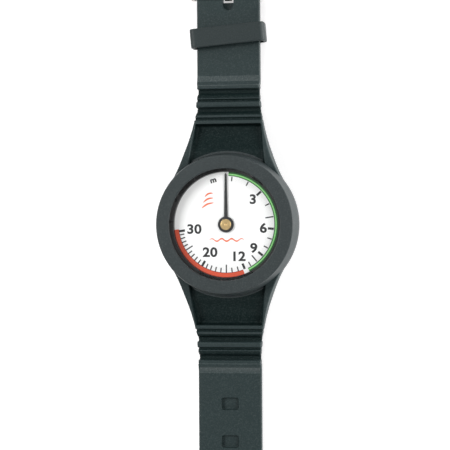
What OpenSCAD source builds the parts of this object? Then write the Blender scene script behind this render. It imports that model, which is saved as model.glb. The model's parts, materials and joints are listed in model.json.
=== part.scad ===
// Wrist depth gauge: oil-filled capsule with a curved pressure tube, in a rubber
// boot on a ribbed strap. Millimetres, +Z out of the dial, +Y to the buckle side.
// The origin is the middle of the boot's back face.

/* [Case] */
// Radius of the dial that shows inside its surround
dial_r = 20.8; // [18:0.1:26]
// Width of the seat around the dial, under the surround
dial_seat = 2.6; // [2:0.1:4]
// Wall of the capsule cup
cup_wall = 1.6; // [1.2:0.1:2.4]
// Wall of the threaded lens ring
lens_ring_wall = 0.8; // [0.6:0.1:1.6]
// Rubber around the capsule at the boot's widest level
boot_wall = 2.9; // [2:0.1:4.5]
// Rubber under the capsule
boot_floor = 1.6; // [1.2:0.1:3]
// Thickness of the boot's lip over the lens ring
boot_lip = 0.9; // [0.7:0.1:2]
// How far the boot's top leans in from its widest level
boot_taper = 1.5; // [0.5:0.1:2.5]
// Radius of the six water holes in the back
water_hole_r = 1.5; // [1:0.1:2]

/* [Capsule stack] */
// Thickness of the back cover
cover_t = 1.0; // [0.8:0.1:2]
// Thickness of the capsule's floor
cup_floor = 2.0; // [1.8:0.1:3]
// Height from the capsule's floor to the underside of the dial
movement_h = 7.3; // [7.3:0.1:10]
// Thickness of the dial plate
dial_t = 0.6; // [0.4:0.1:1]
// Height of the dark wall between dial and gasket
surround_h = 1.4; // [1.4:0.1:3]
// Thickness of the lens gasket
gasket_t = 0.4; // [0.3:0.1:1]
// Thickness of the lens
lens_t = 2.2; // [1.5:0.1:4]
// Thickness of the lens ring's flange
flange_t = 0.5; // [0.4:0.1:1]

/* [Strap] */
// Width of the strap
strap_w = 25.6; // [22:0.1:31]
// Thickness of the flat strap
strap_t = 3.0; // [2.4:0.1:4]
// Height of the strap's underside above the table
strap_lift = 1.8; // [1.7:0.1:4]
// Height that the ribs stand above the flat strap
rib_h = 1.8; // [1:0.1:2.4]
// Distance between the two rib groups
rib_pitch = 7.4; // [7:0.1:9]
// Distance from the case's middle to the tail's tip
tail_len = 150; // [140:1:180]
// Distance from the case's middle to the buckle pin
buckle_len = 92; // [90:1:110]
// Distance between the tail slots
slot_pitch = 15.2; // [12:0.1:18]
// Rubber left at the bottom of a tail slot
slot_web = 1.4; // [0.5:0.1:1.6]

/* [Buckle] */
// Radius of the buckle pin
pin_r = 0.9; // [0.7:0.05:1]
// Thickness of the frame's side bars
bar_t = 2.4; // [2:0.1:3]
// Length of the frame from the pin to its end bar
frame_len = 16; // [14:0.5:20]
// Width of the tongue
tongue_w = 3.0; // [2:0.1:4]

/* [Keeper] */
// Length of the keeper along the strap
keeper_len = 7.7; // [5:0.1:9]
// Wall of the keeper
keeper_wall = 1.3; // [1:0.1:1.4]
// Distance from the case's middle to the keeper
keeper_at = 76.1; // [73:0.1:78]
// Angle at which the loose keeper sits across the strap
keeper_skew = 5; // [0:0.5:5]

/* [Movement] */
// Module of the gear teeth
gear_module = 0.25; // [0.22:0.01:0.26]
// Teeth of the pointer pinion
pinion_teeth = 12; // [12:1:12]
// Teeth that a whole circle of the sector would have
sector_teeth = 72; // [72:1:72]
// Thickness of the movement plates
plate_t = 0.8; // [0.6:0.1:1]
// Radius of the arbors
arbor_r = 0.5; // [0.4:0.05:0.6]
// Length of the sector's tail arm
tail_arm = 3.2; // [2.8:0.1:3.6]

/* [Fits] */
// Gap between pieces that seat in each other
seat_gap = 0.1; // [0.05:0.05:0.2]
// Radial gap of a turning fit
run_gap = 0.04; // [0.02:0.01:0.08]
// Gap between two strap pieces at a flex line
flex_gap = 0.3; // [0.2:0.05:0.5]

/* [Hidden] */
$fn = 96;
eps = 0.01;

// radii, from the dial outwards
cup_in_r = dial_r + dial_seat;
cup_r = cup_in_r + cup_wall;
ring_in_r = cup_r + seat_gap;
ring_r = ring_in_r + lens_ring_wall;
cavity_r = ring_r + seat_gap;
boot_r = cavity_r + boot_wall;
boot_top_r = boot_r - boot_taper;
lip_r = dial_r + 1.4;
foot_r = boot_r + 0.6;

// levels, from the back upwards
cover_z = boot_floor + seat_gap;
cup_z = cover_z + cover_t;
inside_z = cup_z + cup_floor;
dial_z = inside_z + movement_h;
dial_top = dial_z + dial_t;
gasket_z = dial_top + surround_h;
lens_z = gasket_z + gasket_t;
flange_z = lens_z + lens_t;
lip_z = flange_z + flange_t;
boot_h = lip_z + boot_lip;
wide_z = boot_h * 0.53;

// movement levels
pillar_z = inside_z + plate_t;
top_plate_z = dial_z - 1.7;
gear_z = pillar_z + 1.5;
gear_t = 0.8;
link_z = gear_z + gear_t + 0.2;
link_t = 0.4;
spring_z = link_z + link_t + 0.4;
stud_at = 5.32;
stud_r = 0.4;
pointer_z = dial_top + 0.4;
pointer_t = 0.35;
pointer_hub_r = 3.2;
boss_r = 2.2;
boss_h = 0.7;

// movement places
pinion_r = gear_module * pinion_teeth / 2;
sector_r = gear_module * sector_teeth / 2;
sector_y = -(pinion_r + sector_r);
gear_ratio = sector_teeth / pinion_teeth;
pointer_sweep = 262.2;
sector_sweep = pointer_sweep / gear_ratio;
tail_angle = 270 - sector_sweep / 2;
tail_x = tail_arm * cos(tail_angle);
tail_y = sector_y + tail_arm * sin(tail_angle);
plate_r = 14;
pillar_at = 11.5;
pillar_foot_r = 0.8;
pillar_angles = [-15, 90, 195];
base_screw_angles = [40, 140, 230];
tube_r = dial_r - 3.2;
tube_t = 1.4;
tube_h = 4.5;
tube_z = pillar_z + 0.2;
tube_wall = 0.25;
tube_from = -50;
tube_end_y = tail_y + 0.81;
tube_to = 180 + asin(-tube_end_y / tube_r);
tip_x = tube_r * cos(tube_to);
tip_pin_x = tip_x + 3.2;
link_sag = tail_arm * (1 - cos(sector_sweep / 2)) / 2;
tip_pin_y = tail_y - link_sag;
link_pin_r = 0.35;
link_play = 0.2;
link_eye_r = 0.8;

// screws, bushes and holes
screw_r = 0.6;
tapped_r = screw_r + 0.02;
clear_r = screw_r + 0.1;
screw_head_h = 0.5;
cover_screw_r = 0.8;
cover_screw_at = cup_in_r - 2.9;
cover_screw_angles = [0 : 90 : 270];
plug_r = 1.2;
plug_angle = 45;
base_screw_at = 12.2;
socket_screw_angles = [-5.5, -14.5];
socket_foot_h = 0.8;
bush_r = 1.01;
water_at = 9;
water_angles = [0 : 60 : 300];
diaphragm_r = 12.6;
diaphragm_open_r = 9.5;
diaphragm_h = 1;
press = 0.02;

// strap places, as distances from the case's middle
panel_end = boot_r + 11.8;
flex_1 = panel_end + 5.5;
flex_2 = flex_1 + rib_pitch;
flat_from = flex_2 + 5.7;
slot_1 = flat_from + 13.0;
flex_3 = slot_1 + 1.5 * slot_pitch;
strap_top = strap_lift + strap_t;
rib_top = strap_top + rib_h;
groove_floor = strap_top - 1.0;
groove_half = 0.75;
flare_r = 76;
flare_at = panel_end + 13.6;
flare_most = 9;
panel_half = strap_w / 2 + 2.4;
panel_floor = strap_top - 1.4;
slot_count = 6;
slot_w = 6.8;
slot_l = 4.8;
slot_corner = 1;
pin_z = strap_lift + strap_t / 2;
barrel_r = strap_t / 2 + 0.7;
fork_gap = tongue_w + 1.4;
fork_from = buckle_len - 3.4;
ear_x = strap_w / 2 + 0.4;
ear_w = 2.0;
ear_r = pin_r + 0.7;
tongue_eye_r = pin_r + 0.9;
tongue_rest = bar_t / 2 + 0.3;
keeper_in_w = strap_w + 2.2;

// ---------- helpers ----------

// a flat outline of [distance, height] points drawn out across the strap
module across(points, width) {
    rotate([90, 0, 90])
        linear_extrude(width, center = true)
            polygon(points);
}

// plan of the strap: flat width, flaring to the case in an arc on each side
module strap_plan(to) {
    translate([-strap_w / 2, 0])
        square([strap_w, to]);
    difference() {
        translate([-boot_r, 0])
            square([2 * boot_r, flare_at]);
        for (side = [-1, 1])
            translate([side * (strap_w / 2 + flare_r), flare_at])
                circle(flare_r, $fn = 180);
        for (side = [-1, 1])
            translate([side * (boot_r + strap_w / 2 + flare_most), 0])
                square(2 * boot_r, center = true);
    }
}

// top outline of one rib group: a wide deep groove, a broad rib, a narrow groove, a low rib
function rib_group(at) = [
    [at - groove_half, groove_floor],
    [at + groove_half, groove_floor],
    [at + 1.1, rib_top - 0.3],
    [at + 1.6, rib_top],
    [at + 3.1, rib_top],
    [at + 3.4, rib_top - 1.3],
    [at + 4.1, rib_top - 1.3],
    [at + 4.4, rib_top - 0.5],
    [at + rib_pitch - 1.3, rib_top - 0.9]
];

function ribbed_top(to) = concat(
    [[panel_end, rib_top], [panel_end + 1.2, rib_top], [panel_end + 1.5, rib_top - 1.2],
     [panel_end + 2.2, rib_top - 1.2], [panel_end + 2.5, rib_top - 0.4],
     [flex_1 - 1.2, rib_top - 0.8]],
    rib_group(flex_1),
    [[flex_2 - groove_half, groove_floor], [flex_2 + groove_half, groove_floor],
     [flex_2 + 1.1, rib_top - 0.6], [flex_2 + 3.2, rib_top - 0.8], [flat_from, strap_top],
     [to, strap_top]]);

// a length of strap between two distances, with its ribs
module strap_piece(from, to, end) {
    intersection() {
        across(concat(ribbed_top(end), [[end, strap_lift], [panel_end, strap_lift]]), 2 * boot_r);
        linear_extrude(boot_h)
            strap_plan(end);
        translate([-boot_r, from, 0])
            cube([2 * boot_r, to - from, boot_h]);
    }
}

module ring(outer, inner, height) {
    difference() {
        cylinder(r = outer, h = height);
        translate([0, 0, -eps])
            cylinder(r = inner, h = height + 2 * eps);
    }
}

module around(radius, angles) {
    for (a = angles)
        rotate([0, 0, a])
            translate([radius, 0, 0])
                children();
}

// screw standing head up at z = 0, with its shank below
module screw(shank_r, shank_l, head_r, head_h) {
    difference() {
        union() {
            cylinder(r = head_r, h = head_h, $fn = 32);
            translate([0, 0, -shank_l])
                cylinder(r = shank_r, h = shank_l + eps, $fn = 32);
        }
        translate([-head_r, -0.15, head_h / 2])
            cube([2 * head_r, 0.3, head_h]);
    }
}

// involute gear teeth: angle of the curve at radius r, and half the tooth's angle there
pressure = 20;
function roll(a) = tan(a) * 180 / PI - a;
function half_tooth(r, pitch_r, teeth, slim) =
    let (base_r = pitch_r * cos(pressure))
    90 / teeth * slim + roll(pressure) - roll(acos(min(1, base_r / max(r, base_r))));
function on_circle(r, a) = [r * cos(a), r * sin(a)];
function tooth(pitch_r, teeth, root, tip, at, slim) =
    let (steps = 5)
    concat(
        [for (i = [0 : steps])
            let (r = root + (tip - root) * i / steps)
            on_circle(r, at - half_tooth(r, pitch_r, teeth, slim))],
        [for (i = [steps : -1 : 0])
            let (r = root + (tip - root) * i / steps)
            on_circle(r, at + half_tooth(r, pitch_r, teeth, slim))]);

// ---------- case ----------

module boot() {
    color("#3c4647")
    difference() {
        union() {
            rotate_extrude()
                polygon([[0, 0], [boot_r - 3.2, 0], [boot_r - 2.2, 0.5], [boot_r - 0.5, 3.5],
                    [boot_r, wide_z], [boot_top_r, boot_h - 0.4], [boot_top_r - 0.4, boot_h],
                    [0, boot_h]]);
            for (side = [0, 1])
                mirror([0, side, 0])
                    shoulder();
        }
        translate([0, 0, boot_floor])
            cylinder(r = cavity_r, h = lip_z - boot_floor);
        translate([0, 0, lip_z - eps])
            cylinder(r = lip_r, h = boot_lip + 1);
        around(water_at, water_angles)
            translate([0, 0, -eps])
                cylinder(r = water_hole_r, h = boot_floor + 2 * eps, $fn = 32);
    }
}

// tapering block from the case to the first flex line, with a sunk middle panel
module shoulder() {
    wall_z = boot_h * 0.62;
    foot_z = boot_h * 0.5;
    difference() {
        intersection() {
            across([[0, 0], [boot_r - 3.2, 0], [panel_end - 2.4, strap_lift],
                [flex_1 - flex_gap / 2, strap_lift],
                [flex_1 - flex_gap / 2, groove_floor], [flex_1 - groove_half, groove_floor],
                [flex_1 - 1.2, rib_top - 0.8], [panel_end + 2.5, rib_top - 0.4],
                [panel_end + 2.2, rib_top - 1.2], [panel_end + 1.5, rib_top - 1.2],
                [panel_end + 1.2, rib_top], [panel_end, rib_top], [boot_r, wall_z], [0, wall_z]],
                2 * boot_r);
            linear_extrude(boot_h)
                strap_plan(flare_at);
        }
        difference() {
            intersection() {
                across([[boot_r - 4, foot_z], [foot_r, foot_z], [foot_r + 2.5, foot_z - 2.2],
                    [panel_end - 3.9, strap_top - 0.9], [panel_end - 1, panel_floor],
                    [panel_end, rib_top + eps], [panel_end, boot_h], [boot_r - 4, boot_h]],
                    2 * boot_r);
                linear_extrude(boot_h)
                    polygon([[-panel_half, boot_r - 4], [panel_half, boot_r - 4],
                        [strap_w / 2 + 0.5, panel_end], [-strap_w / 2 - 0.5, panel_end]]);
            }
            cylinder(r = foot_r, h = foot_z);
        }
    }
}

module capsule_cup() {
    color("#2a2d2f")
    difference() {
        translate([0, 0, cup_z])
            cylinder(r = cup_r, h = flange_z - 0.2 - cup_z);
        translate([0, 0, dial_z])
            cylinder(r = cup_in_r, h = boot_h);
        translate([0, 0, inside_z])
            cylinder(r = cup_in_r - 2, h = boot_h);
        translate([0, 0, cup_z - eps])
            cylinder(r = diaphragm_open_r, h = cup_floor + 2 * eps);
        translate([0, 0, cup_z - eps])
            cylinder(r = diaphragm_r + seat_gap, h = diaphragm_h + eps);
        around(cover_screw_at, cover_screw_angles)
            translate([0, 0, cup_z - eps])
                cylinder(r = cover_screw_r + press, h = 1.5, $fn = 32);
        around(cover_screw_at, [plug_angle])
            translate([0, 0, cup_z - eps])
                cylinder(r = plug_r + press, h = cup_floor + 2 * eps, $fn = 32);
        around(base_screw_at, base_screw_angles)
            translate([0, 0, inside_z - 0.8])
                cylinder(r = tapped_r, h = 1, $fn = 32);
        rotate([0, 0, tube_from])
            around(tube_r, socket_screw_angles)
                translate([0, 0, inside_z - 1])
                    cylinder(r = tapped_r, h = 2, $fn = 32);
    }
}

module back_cover() {
    color("#33383a")
    translate([0, 0, cover_z])
    difference() {
        cylinder(r = cup_r - seat_gap, h = cover_t);
        around(water_at, water_angles)
            translate([0, 0, -eps])
                cylinder(r = water_hole_r, h = cover_t + 2 * eps, $fn = 32);
        around(cover_screw_at, cover_screw_angles) {
            translate([0, 0, -eps])
                cylinder(r = cover_screw_r + seat_gap, h = cover_t + 2 * eps, $fn = 32);
            translate([0, 0, -eps])
                cylinder(r = 2 * cover_screw_r + seat_gap, h = screw_head_h + seat_gap, $fn = 32);
        }
    }
}

module back_cover_screws() {
    color("silver")
    around(cover_screw_at, cover_screw_angles)
        translate([0, 0, cover_z + screw_head_h + seat_gap - eps])
            mirror([0, 0, 1])
                screw(cover_screw_r, cover_t + 0.8, 2 * cover_screw_r, screw_head_h);
}

module diaphragm() {
    color("#161616")
    translate([0, 0, cup_z])
    difference() {
        cylinder(r = diaphragm_r, h = diaphragm_h - press);
        translate([0, 0, -eps])
            cylinder(r = diaphragm_open_r - 0.1, h = 0.2);
        translate([0, 0, 0.8])
            cylinder(r = diaphragm_open_r - 0.1, h = 1);
        translate([0, 0, 0.5])
            ring(8.2, 6.6, 1);
    }
}

module oil_fill_plug() {
    color("#b08d4a")
    around(cover_screw_at, [plug_angle])
        translate([0, 0, cup_z])
            difference() {
                cylinder(r = plug_r, h = cup_floor, $fn = 32);
                translate([-2, -0.2, -eps])
                    cube([4, 0.4, 0.5]);
            }
}

module dial_plate() {
    color("white")
    translate([0, 0, dial_z])
        ring(cup_in_r - seat_gap, 1.2, dial_t);
}

module dial_surround() {
    color("#101112")
    translate([0, 0, dial_top])
        rotate_extrude()
            polygon([[dial_r + 0.1, 0], [cup_in_r - seat_gap, 0],
                [cup_in_r - seat_gap, surround_h], [dial_r + 0.25, surround_h]]);
}

module lens_gasket() {
    color("#202020")
    translate([0, 0, gasket_z])
        ring(cup_in_r - seat_gap, dial_r + 0.3, gasket_t);
}

module lens() {
    color("#dfe8ea", 0.3)
    translate([0, 0, lens_z])
        rotate_extrude()
            polygon([[0, 0], [cup_in_r - seat_gap, 0], [cup_in_r - seat_gap, lens_t],
                [0, lens_t]]);
}

module lens_ring() {
    color("#1c1e20")
    difference() {
        translate([0, 0, dial_top])
            cylinder(r = ring_r, h = lip_z - dial_top);
        translate([0, 0, dial_top - eps])
            cylinder(r = ring_in_r, h = flange_z - dial_top + eps);
        translate([0, 0, dial_top])
            cylinder(r = lip_r + 0.3, h = boot_h);
    }
}

// ---------- movement ----------

module bottom_plate() {
    color("#c2a25a")
    translate([0, 0, inside_z])
    difference() {
        cylinder(r = plate_r, h = plate_t);
        for (y = [0, sector_y])
            translate([0, y, -eps])
                cylinder(r = bush_r + eps, h = 2 * plate_t, $fn = 32);
        around(pillar_at, pillar_angles)
            translate([0, 0, -eps])
                cylinder(r = pillar_foot_r + press, h = 2 * plate_t, $fn = 32);
        around(base_screw_at, base_screw_angles)
            translate([0, 0, -eps])
                cylinder(r = clear_r, h = 2 * plate_t, $fn = 32);
        around(6, [30 : 60 : 330])
            translate([0, 0, -eps])
                cylinder(r = 1.6, h = 2 * plate_t, $fn = 32);
    }
}

module base_screws() {
    color("silver")
    around(base_screw_at, base_screw_angles)
        translate([0, 0, pillar_z])
            screw(screw_r, plate_t + 0.7, 1.1, screw_head_h);
}

module pillars() {
    color("#c2a25a")
    around(pillar_at, pillar_angles)
        difference() {
            union() {
                translate([0, 0, pillar_z])
                    cylinder(r = 1.4, h = top_plate_z - pillar_z, $fn = 48);
                translate([0, 0, inside_z + 0.05])
                    cylinder(r = pillar_foot_r, h = plate_t, $fn = 32);
            }
            translate([0, 0, top_plate_z - 2])
                cylinder(r = tapped_r, h = 3, $fn = 32);
        }
}

module top_plate() {
    color("#c2a25a")
    translate([0, 0, top_plate_z])
    difference() {
        cylinder(r = plate_r - 0.8, h = plate_t);
        for (y = [0, sector_y])
            translate([0, y, -eps])
                cylinder(r = bush_r + eps, h = 2 * plate_t, $fn = 32);
        around(pillar_at, pillar_angles)
            translate([0, 0, -eps])
                cylinder(r = clear_r, h = 2 * plate_t, $fn = 32);
        around(stud_at, [90])
            translate([0, 0, -eps])
                cylinder(r = stud_r + press, h = 2 * plate_t, $fn = 32);
    }
}

module pillar_screws() {
    color("silver")
    around(pillar_at, pillar_angles)
        translate([0, 0, top_plate_z + plate_t])
            screw(screw_r, plate_t + 1.6, 2 * screw_r, screw_head_h);
}

module arbor_bushes() {
    color("#d8b868")
    for (y = [0, sector_y])
        for (z = [inside_z, top_plate_z])
            translate([0, y, z])
                ring(bush_r, arbor_r + run_gap, plate_t);
}

module tube_socket() {
    color("#b08d4a")
    rotate([0, 0, tube_from])
    difference() {
        union() {
            // upright block that the tube's end is soldered to
            translate([tube_r - tube_t, -3, inside_z])
                cube([2 * tube_t, 3 - press, tube_z + tube_h - inside_z]);
            // foot under it, screwed to the capsule's floor
            rotate([0, 0, -10])
                translate([tube_r - tube_t, -3.4, inside_z])
                    cube([2 * tube_t, 5.5, socket_foot_h]);
        }
        around(tube_r, socket_screw_angles)
            translate([0, 0, inside_z - eps])
                cylinder(r = clear_r, h = socket_foot_h + 2 * eps, $fn = 32);
        around(tube_r, [socket_screw_angles[0]])
            translate([0, 0, inside_z + socket_foot_h])
                cylinder(r = 1.3, h = boot_h, $fn = 32);
    }
}

module socket_screws() {
    color("silver")
    rotate([0, 0, tube_from])
        around(tube_r, socket_screw_angles)
            translate([0, 0, inside_z + socket_foot_h])
                screw(screw_r, socket_foot_h + 0.8, 1.1, screw_head_h);
}

// flattened hollow tube bent into most of a circle
module pressure_tube() {
    color("#c9b27a")
    rotate([0, 0, tube_from])
        rotate_extrude(angle = tube_to - tube_from)
            translate([tube_r - tube_t / 2, tube_z])
                difference() {
                    square([tube_t, tube_h]);
                    translate([tube_wall, tube_wall])
                        square([tube_t - 2 * tube_wall, tube_h - 2 * tube_wall]);
                }
}

// cap on the tube's free end, with a tab and a pin for the link
module tube_tip() {
    color("#b08d4a")
    union() {
        rotate([0, 0, tube_to])
            translate([tube_r - 0.9, press, tube_z + 0.2])
                cube([1.8, 1.4, tube_h - 0.4]);
        translate([tip_x + 0.6, tip_pin_y - 0.7, link_z - 0.9])
            cube([tip_pin_x - tip_x - 0.6 + 0.7, 1.4, 0.7]);
        translate([tip_pin_x, tip_pin_y, link_z - 0.3])
            cylinder(r = link_pin_r, h = link_t + 0.5, $fn = 32);
    }
}

// rod from the tip's pin to the sector's tail pin, with an eye at each end
module link_rod() {
    color("#d9d2c0")
    translate([0, 0, link_z])
    difference() {
        linear_extrude(link_t)
            union() {
                translate([tip_pin_x, tail_y])
                    circle(link_eye_r + 0.15, $fn = 32);
                translate([tail_x, tail_y])
                    circle(link_eye_r, $fn = 32);
                translate([tip_pin_x, tail_y - 0.3])
                    square([tail_x - tip_pin_x, 0.6]);
            }
        translate([tip_pin_x, tail_y, -eps])
            cylinder(r = link_pin_r + link_play, h = 1, $fn = 32);
        translate([tail_x, tail_y, -eps])
            cylinder(r = link_pin_r + run_gap, h = 1, $fn = 32);
    }
}

module link_pin() {
    color("silver")
    translate([tail_x, tail_y, gear_z + press]) {
        cylinder(r = link_pin_r, h = link_z + link_t + 0.3 - gear_z, $fn = 32);
        translate([0, 0, link_z + link_t + 0.1 - gear_z])
            cylinder(r = 0.6, h = 0.25, $fn = 32);
    }
}

module sector_gear() {
    color("#d3b25e")
    translate([0, sector_y, gear_z])
        difference() {
            linear_extrude(gear_t)
                union() {
                    polygon(concat(
                        [for (j = [-11 : 2])
                            for (p = tooth(sector_r, sector_teeth, sector_r - 0.38,
                                sector_r + 0.17, 90 + j * 360 / sector_teeth, 0.82))
                                p],
                        [for (a = [103 : -10 : 33]) on_circle(sector_r - 1.6, a)]));
                    for (a = [45, 92])
                        rotate(a)
                            translate([0, -0.6])
                                square([sector_r - 1.2, 1.2]);
                    circle(1.7);
                    rotate(tail_angle) {
                        translate([0, -0.6])
                            square([tail_arm, 1.2]);
                        translate([tail_arm, 0])
                            circle(0.9);
                    }
                }
            translate([0, 0, -eps])
                cylinder(r = arbor_r + press, h = 2, $fn = 48);
            rotate([0, 0, tail_angle])
                translate([tail_arm, 0, -eps])
                    cylinder(r = link_pin_r + eps, h = 2, $fn = 32);
        }
}

module sector_arbor() {
    color("silver")
    translate([0, sector_y, 0]) {
        translate([0, 0, inside_z + 0.05])
            cylinder(r = arbor_r, h = top_plate_z + plate_t - inside_z);
        translate([0, 0, gear_z - 0.5])
            cylinder(r = 1.1, h = 0.48);
    }
}

module pinion() {
    color("#d9d9d9")
    translate([0, 0, gear_z - 0.3])
    difference() {
        linear_extrude(gear_t + 0.6)
            polygon([for (k = [0 : pinion_teeth - 1])
                for (p = tooth(pinion_r, pinion_teeth, pinion_r - 0.33, pinion_r + 0.24,
                    270 + (k + 0.5) * 360 / pinion_teeth, 0.82))
                    p]);
        translate([0, 0, -eps])
            cylinder(r = arbor_r + press, h = 2, $fn = 48);
    }
}

module pointer_arbor() {
    color("silver")
    union() {
        translate([0, 0, inside_z + 0.05])
            cylinder(r = arbor_r, h = pointer_z + pointer_t - inside_z - 0.07);
        translate([0, 0, gear_z - 0.9])
            cylinder(r = 1, h = 0.5);
    }
}

// flat spiral from its collet to its stud
spring_turns = 3;
spring_in = 1.15;
spring_out = 4.8;
function spiral(t, side) = on_circle(spring_in + (spring_out - spring_in) * t / (360 * spring_turns)
    + side * 0.1, t + 90);
module hairspring() {
    color("#8f99a3")
    translate([0, 0, spring_z])
        linear_extrude(0.4)
            polygon(concat(
                [for (t = [0 : 15 : 360 * spring_turns]) spiral(t, -1)],
                [for (t = [360 * spring_turns : -15 : 0]) spiral(t, 1)]));
}

module hairspring_collet() {
    color("#d8b868")
    translate([0, 0, spring_z - 0.2])
        ring(1.03, arbor_r + press, 0.8);
}

module hairspring_stud() {
    color("#d8b868")
    around(stud_at, [90])
        translate([0, 0, spring_z - 0.1])
            cylinder(r = stud_r, h = top_plate_z + plate_t - spring_z, $fn = 32);
}

module pointer() {
    color("#111213")
    difference() {
        translate([0, 0, pointer_z])
            linear_extrude(pointer_t)
                union() {
                    circle(pointer_hub_r);
                    polygon([[-0.85, 0], [0.85, 0], [0.45, dial_r - 0.8], [0, dial_r - 0.3],
                        [-0.45, dial_r - 0.8]]);
                }
        translate([0, 0, pointer_z - eps])
            cylinder(r = arbor_r + press, h = 1, $fn = 48);
    }
}

module pointer_boss() {
    color("#c79a4a")
    translate([0, 0, pointer_z + pointer_t])
        rotate_extrude()
            polygon([[0, 0], [boss_r, 0], [boss_r, boss_h / 2], [boss_r - 0.5, boss_h - 0.1],
                [0, boss_h]]);
}

// ---------- strap ----------

module buckle_strap_ribs() {
    color("#3c4647")
    strap_piece(flex_1 + flex_gap / 2, flex_2 - flex_gap / 2, flex_3);
}

// flat end of the strap, slotted for the tongue, with a barrel round the buckle pin
module buckle_strap() {
    color("#3c4647")
    difference() {
        union() {
            strap_piece(flex_2 + flex_gap / 2, buckle_len, buckle_len);
            translate([0, buckle_len, pin_z])
                rotate([0, 90, 0])
                    cylinder(r = barrel_r, h = strap_w, center = true);
        }
        translate([0, buckle_len, pin_z])
            rotate([0, 90, 0])
                cylinder(r = pin_r + press, h = strap_w + 1, center = true, $fn = 48);
        translate([-fork_gap / 2, fork_from, 0])
            cube([fork_gap, 12, boot_h]);
        translate([0, fork_from, 0])
            cylinder(r = fork_gap / 2, h = boot_h, $fn = 48);
    }
}

module buckle_pin() {
    color("silver")
    translate([0, buckle_len, pin_z])
        rotate([0, 90, 0])
            cylinder(r = pin_r, h = 2 * (ear_x + ear_w) - 0.2, center = true, $fn = 48);
}

module buckle_frame() {
    color("#c9c4c0")
    difference() {
        union() {
            for (side = [-1, 1])
                translate([side * (ear_x + ear_w / 2), buckle_len, pin_z]) {
                    rotate([0, 90, 0])
                        cylinder(r = ear_r, h = ear_w, center = true, $fn = 48);
                    translate([-ear_w / 2, 0, -bar_t / 2])
                        cube([ear_w, frame_len, bar_t]);
                }
            translate([0, buckle_len + frame_len, pin_z])
                rotate([0, 90, 0])
                    cylinder(r = bar_t / 2, h = 2 * (ear_x + ear_w), center = true, $fn = 48);
        }
        translate([0, buckle_len, pin_z])
            rotate([0, 90, 0])
                cylinder(r = pin_r + run_gap, h = 100, center = true, $fn = 48);
    }
}

module buckle_tongue() {
    color("#d6cfcb")
    difference() {
        union() {
            translate([0, buckle_len, pin_z])
                rotate([0, 90, 0])
                    cylinder(r = tongue_eye_r, h = tongue_w, center = true, $fn = 48);
            translate([0, buckle_len, pin_z])
                across([[0, tongue_eye_r - 1.2], [0, tongue_eye_r], [2, tongue_eye_r + 0.3],
                    [frame_len - 4, tongue_rest + 1.6], [frame_len + 0.6, tongue_rest + 1.4],
                    [frame_len + 1.6, tongue_rest + 0.6], [frame_len + 1.2, tongue_rest],
                    [frame_len - 4, tongue_rest], [1.4, tongue_eye_r - 1.2]], tongue_w);
        }
        translate([0, buckle_len, pin_z])
            rotate([0, 90, 0])
                cylinder(r = pin_r + run_gap, h = 10, center = true, $fn = 48);
    }
}

module strap_keeper() {
    color("#434c4d")
    translate([0, keeper_at, strap_lift - keeper_wall - 0.3])
        rotate([0, 0, keeper_skew])
            difference() {
                translate([-keeper_in_w / 2 - keeper_wall, -keeper_len / 2, 0])
                    cube([keeper_in_w + 2 * keeper_wall, keeper_len,
                        2 * keeper_wall + 2 * strap_t]);
                translate([-keeper_in_w / 2, -keeper_len, keeper_wall])
                    cube([keeper_in_w, 2 * keeper_len, 2 * strap_t]);
            }
}

module tail_strap_ribs() {
    color("#3c4647")
    mirror([0, 1, 0])
        strap_piece(flex_1 + flex_gap / 2, flex_2 - flex_gap / 2, flex_3);
}

module tail_strap() {
    color("#3c4647")
    mirror([0, 1, 0])
        difference() {
            strap_piece(flex_2 + flex_gap / 2, flex_3 - flex_gap / 2, tail_len);
            tail_slots();
        }
}

module tail_strap_tip() {
    color("#3c4647")
    mirror([0, 1, 0])
        difference() {
            intersection() {
                strap_piece(flex_3 + flex_gap / 2, tail_len, tail_len);
                linear_extrude(boot_h)
                    union() {
                        translate([-strap_w, 0])
                            square([2 * strap_w, tail_len - strap_w / 2]);
                        translate([0, tail_len - strap_w / 2])
                            circle(strap_w / 2);
                    }
            }
            tail_slots();
        }
}

// row of pockets that the tongue drops into, each with a thin web of rubber below
module tail_slots() {
    for (k = [0 : slot_count - 1])
        if (slot_1 + k * slot_pitch < tail_len - strap_w / 2)
            translate([0, slot_1 + k * slot_pitch, strap_lift + slot_web])
                linear_extrude(strap_t)
                    union() {
                        square([slot_w - 2 * slot_corner, slot_l], center = true);
                        square([slot_w, slot_l - 2 * slot_corner], center = true);
                        for (x = [-1, 1])
                            for (y = [-1, 1])
                                translate([x * (slot_w / 2 - slot_corner),
                                    y * (slot_l / 2 - slot_corner)])
                                    circle(slot_corner, $fn = 32);
                    }
}

boot();
capsule_cup();
back_cover();
back_cover_screws();
diaphragm();
oil_fill_plug();
dial_plate();
dial_surround();
lens_gasket();
lens();
lens_ring();
bottom_plate();
base_screws();
pillars();
top_plate();
pillar_screws();
arbor_bushes();
tube_socket();
socket_screws();
pressure_tube();
tube_tip();
link_rod();
link_pin();
sector_gear();
sector_arbor();
pinion();
pointer_arbor();
hairspring();
hairspring_collet();
hairspring_stud();
pointer();
pointer_boss();
buckle_strap_ribs();
buckle_strap();
buckle_pin();
buckle_frame();
buckle_tongue();
strap_keeper();
tail_strap_ribs();
tail_strap();
tail_strap_tip();
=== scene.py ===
"""Wrist depth gauge: the finished looks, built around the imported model.

Lengths are metres in the model's own frame: +Z out of the dial, +Y along the strap to the
buckle, +X to the right of the dial, and the origin in the middle of the boot's back.
"""
import json
import logging
import math
from dataclasses import dataclass, field
from enum import Enum
from typing import Callable, Sequence

import bmesh
import bpy
from mathutils import Matrix, Vector


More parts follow.
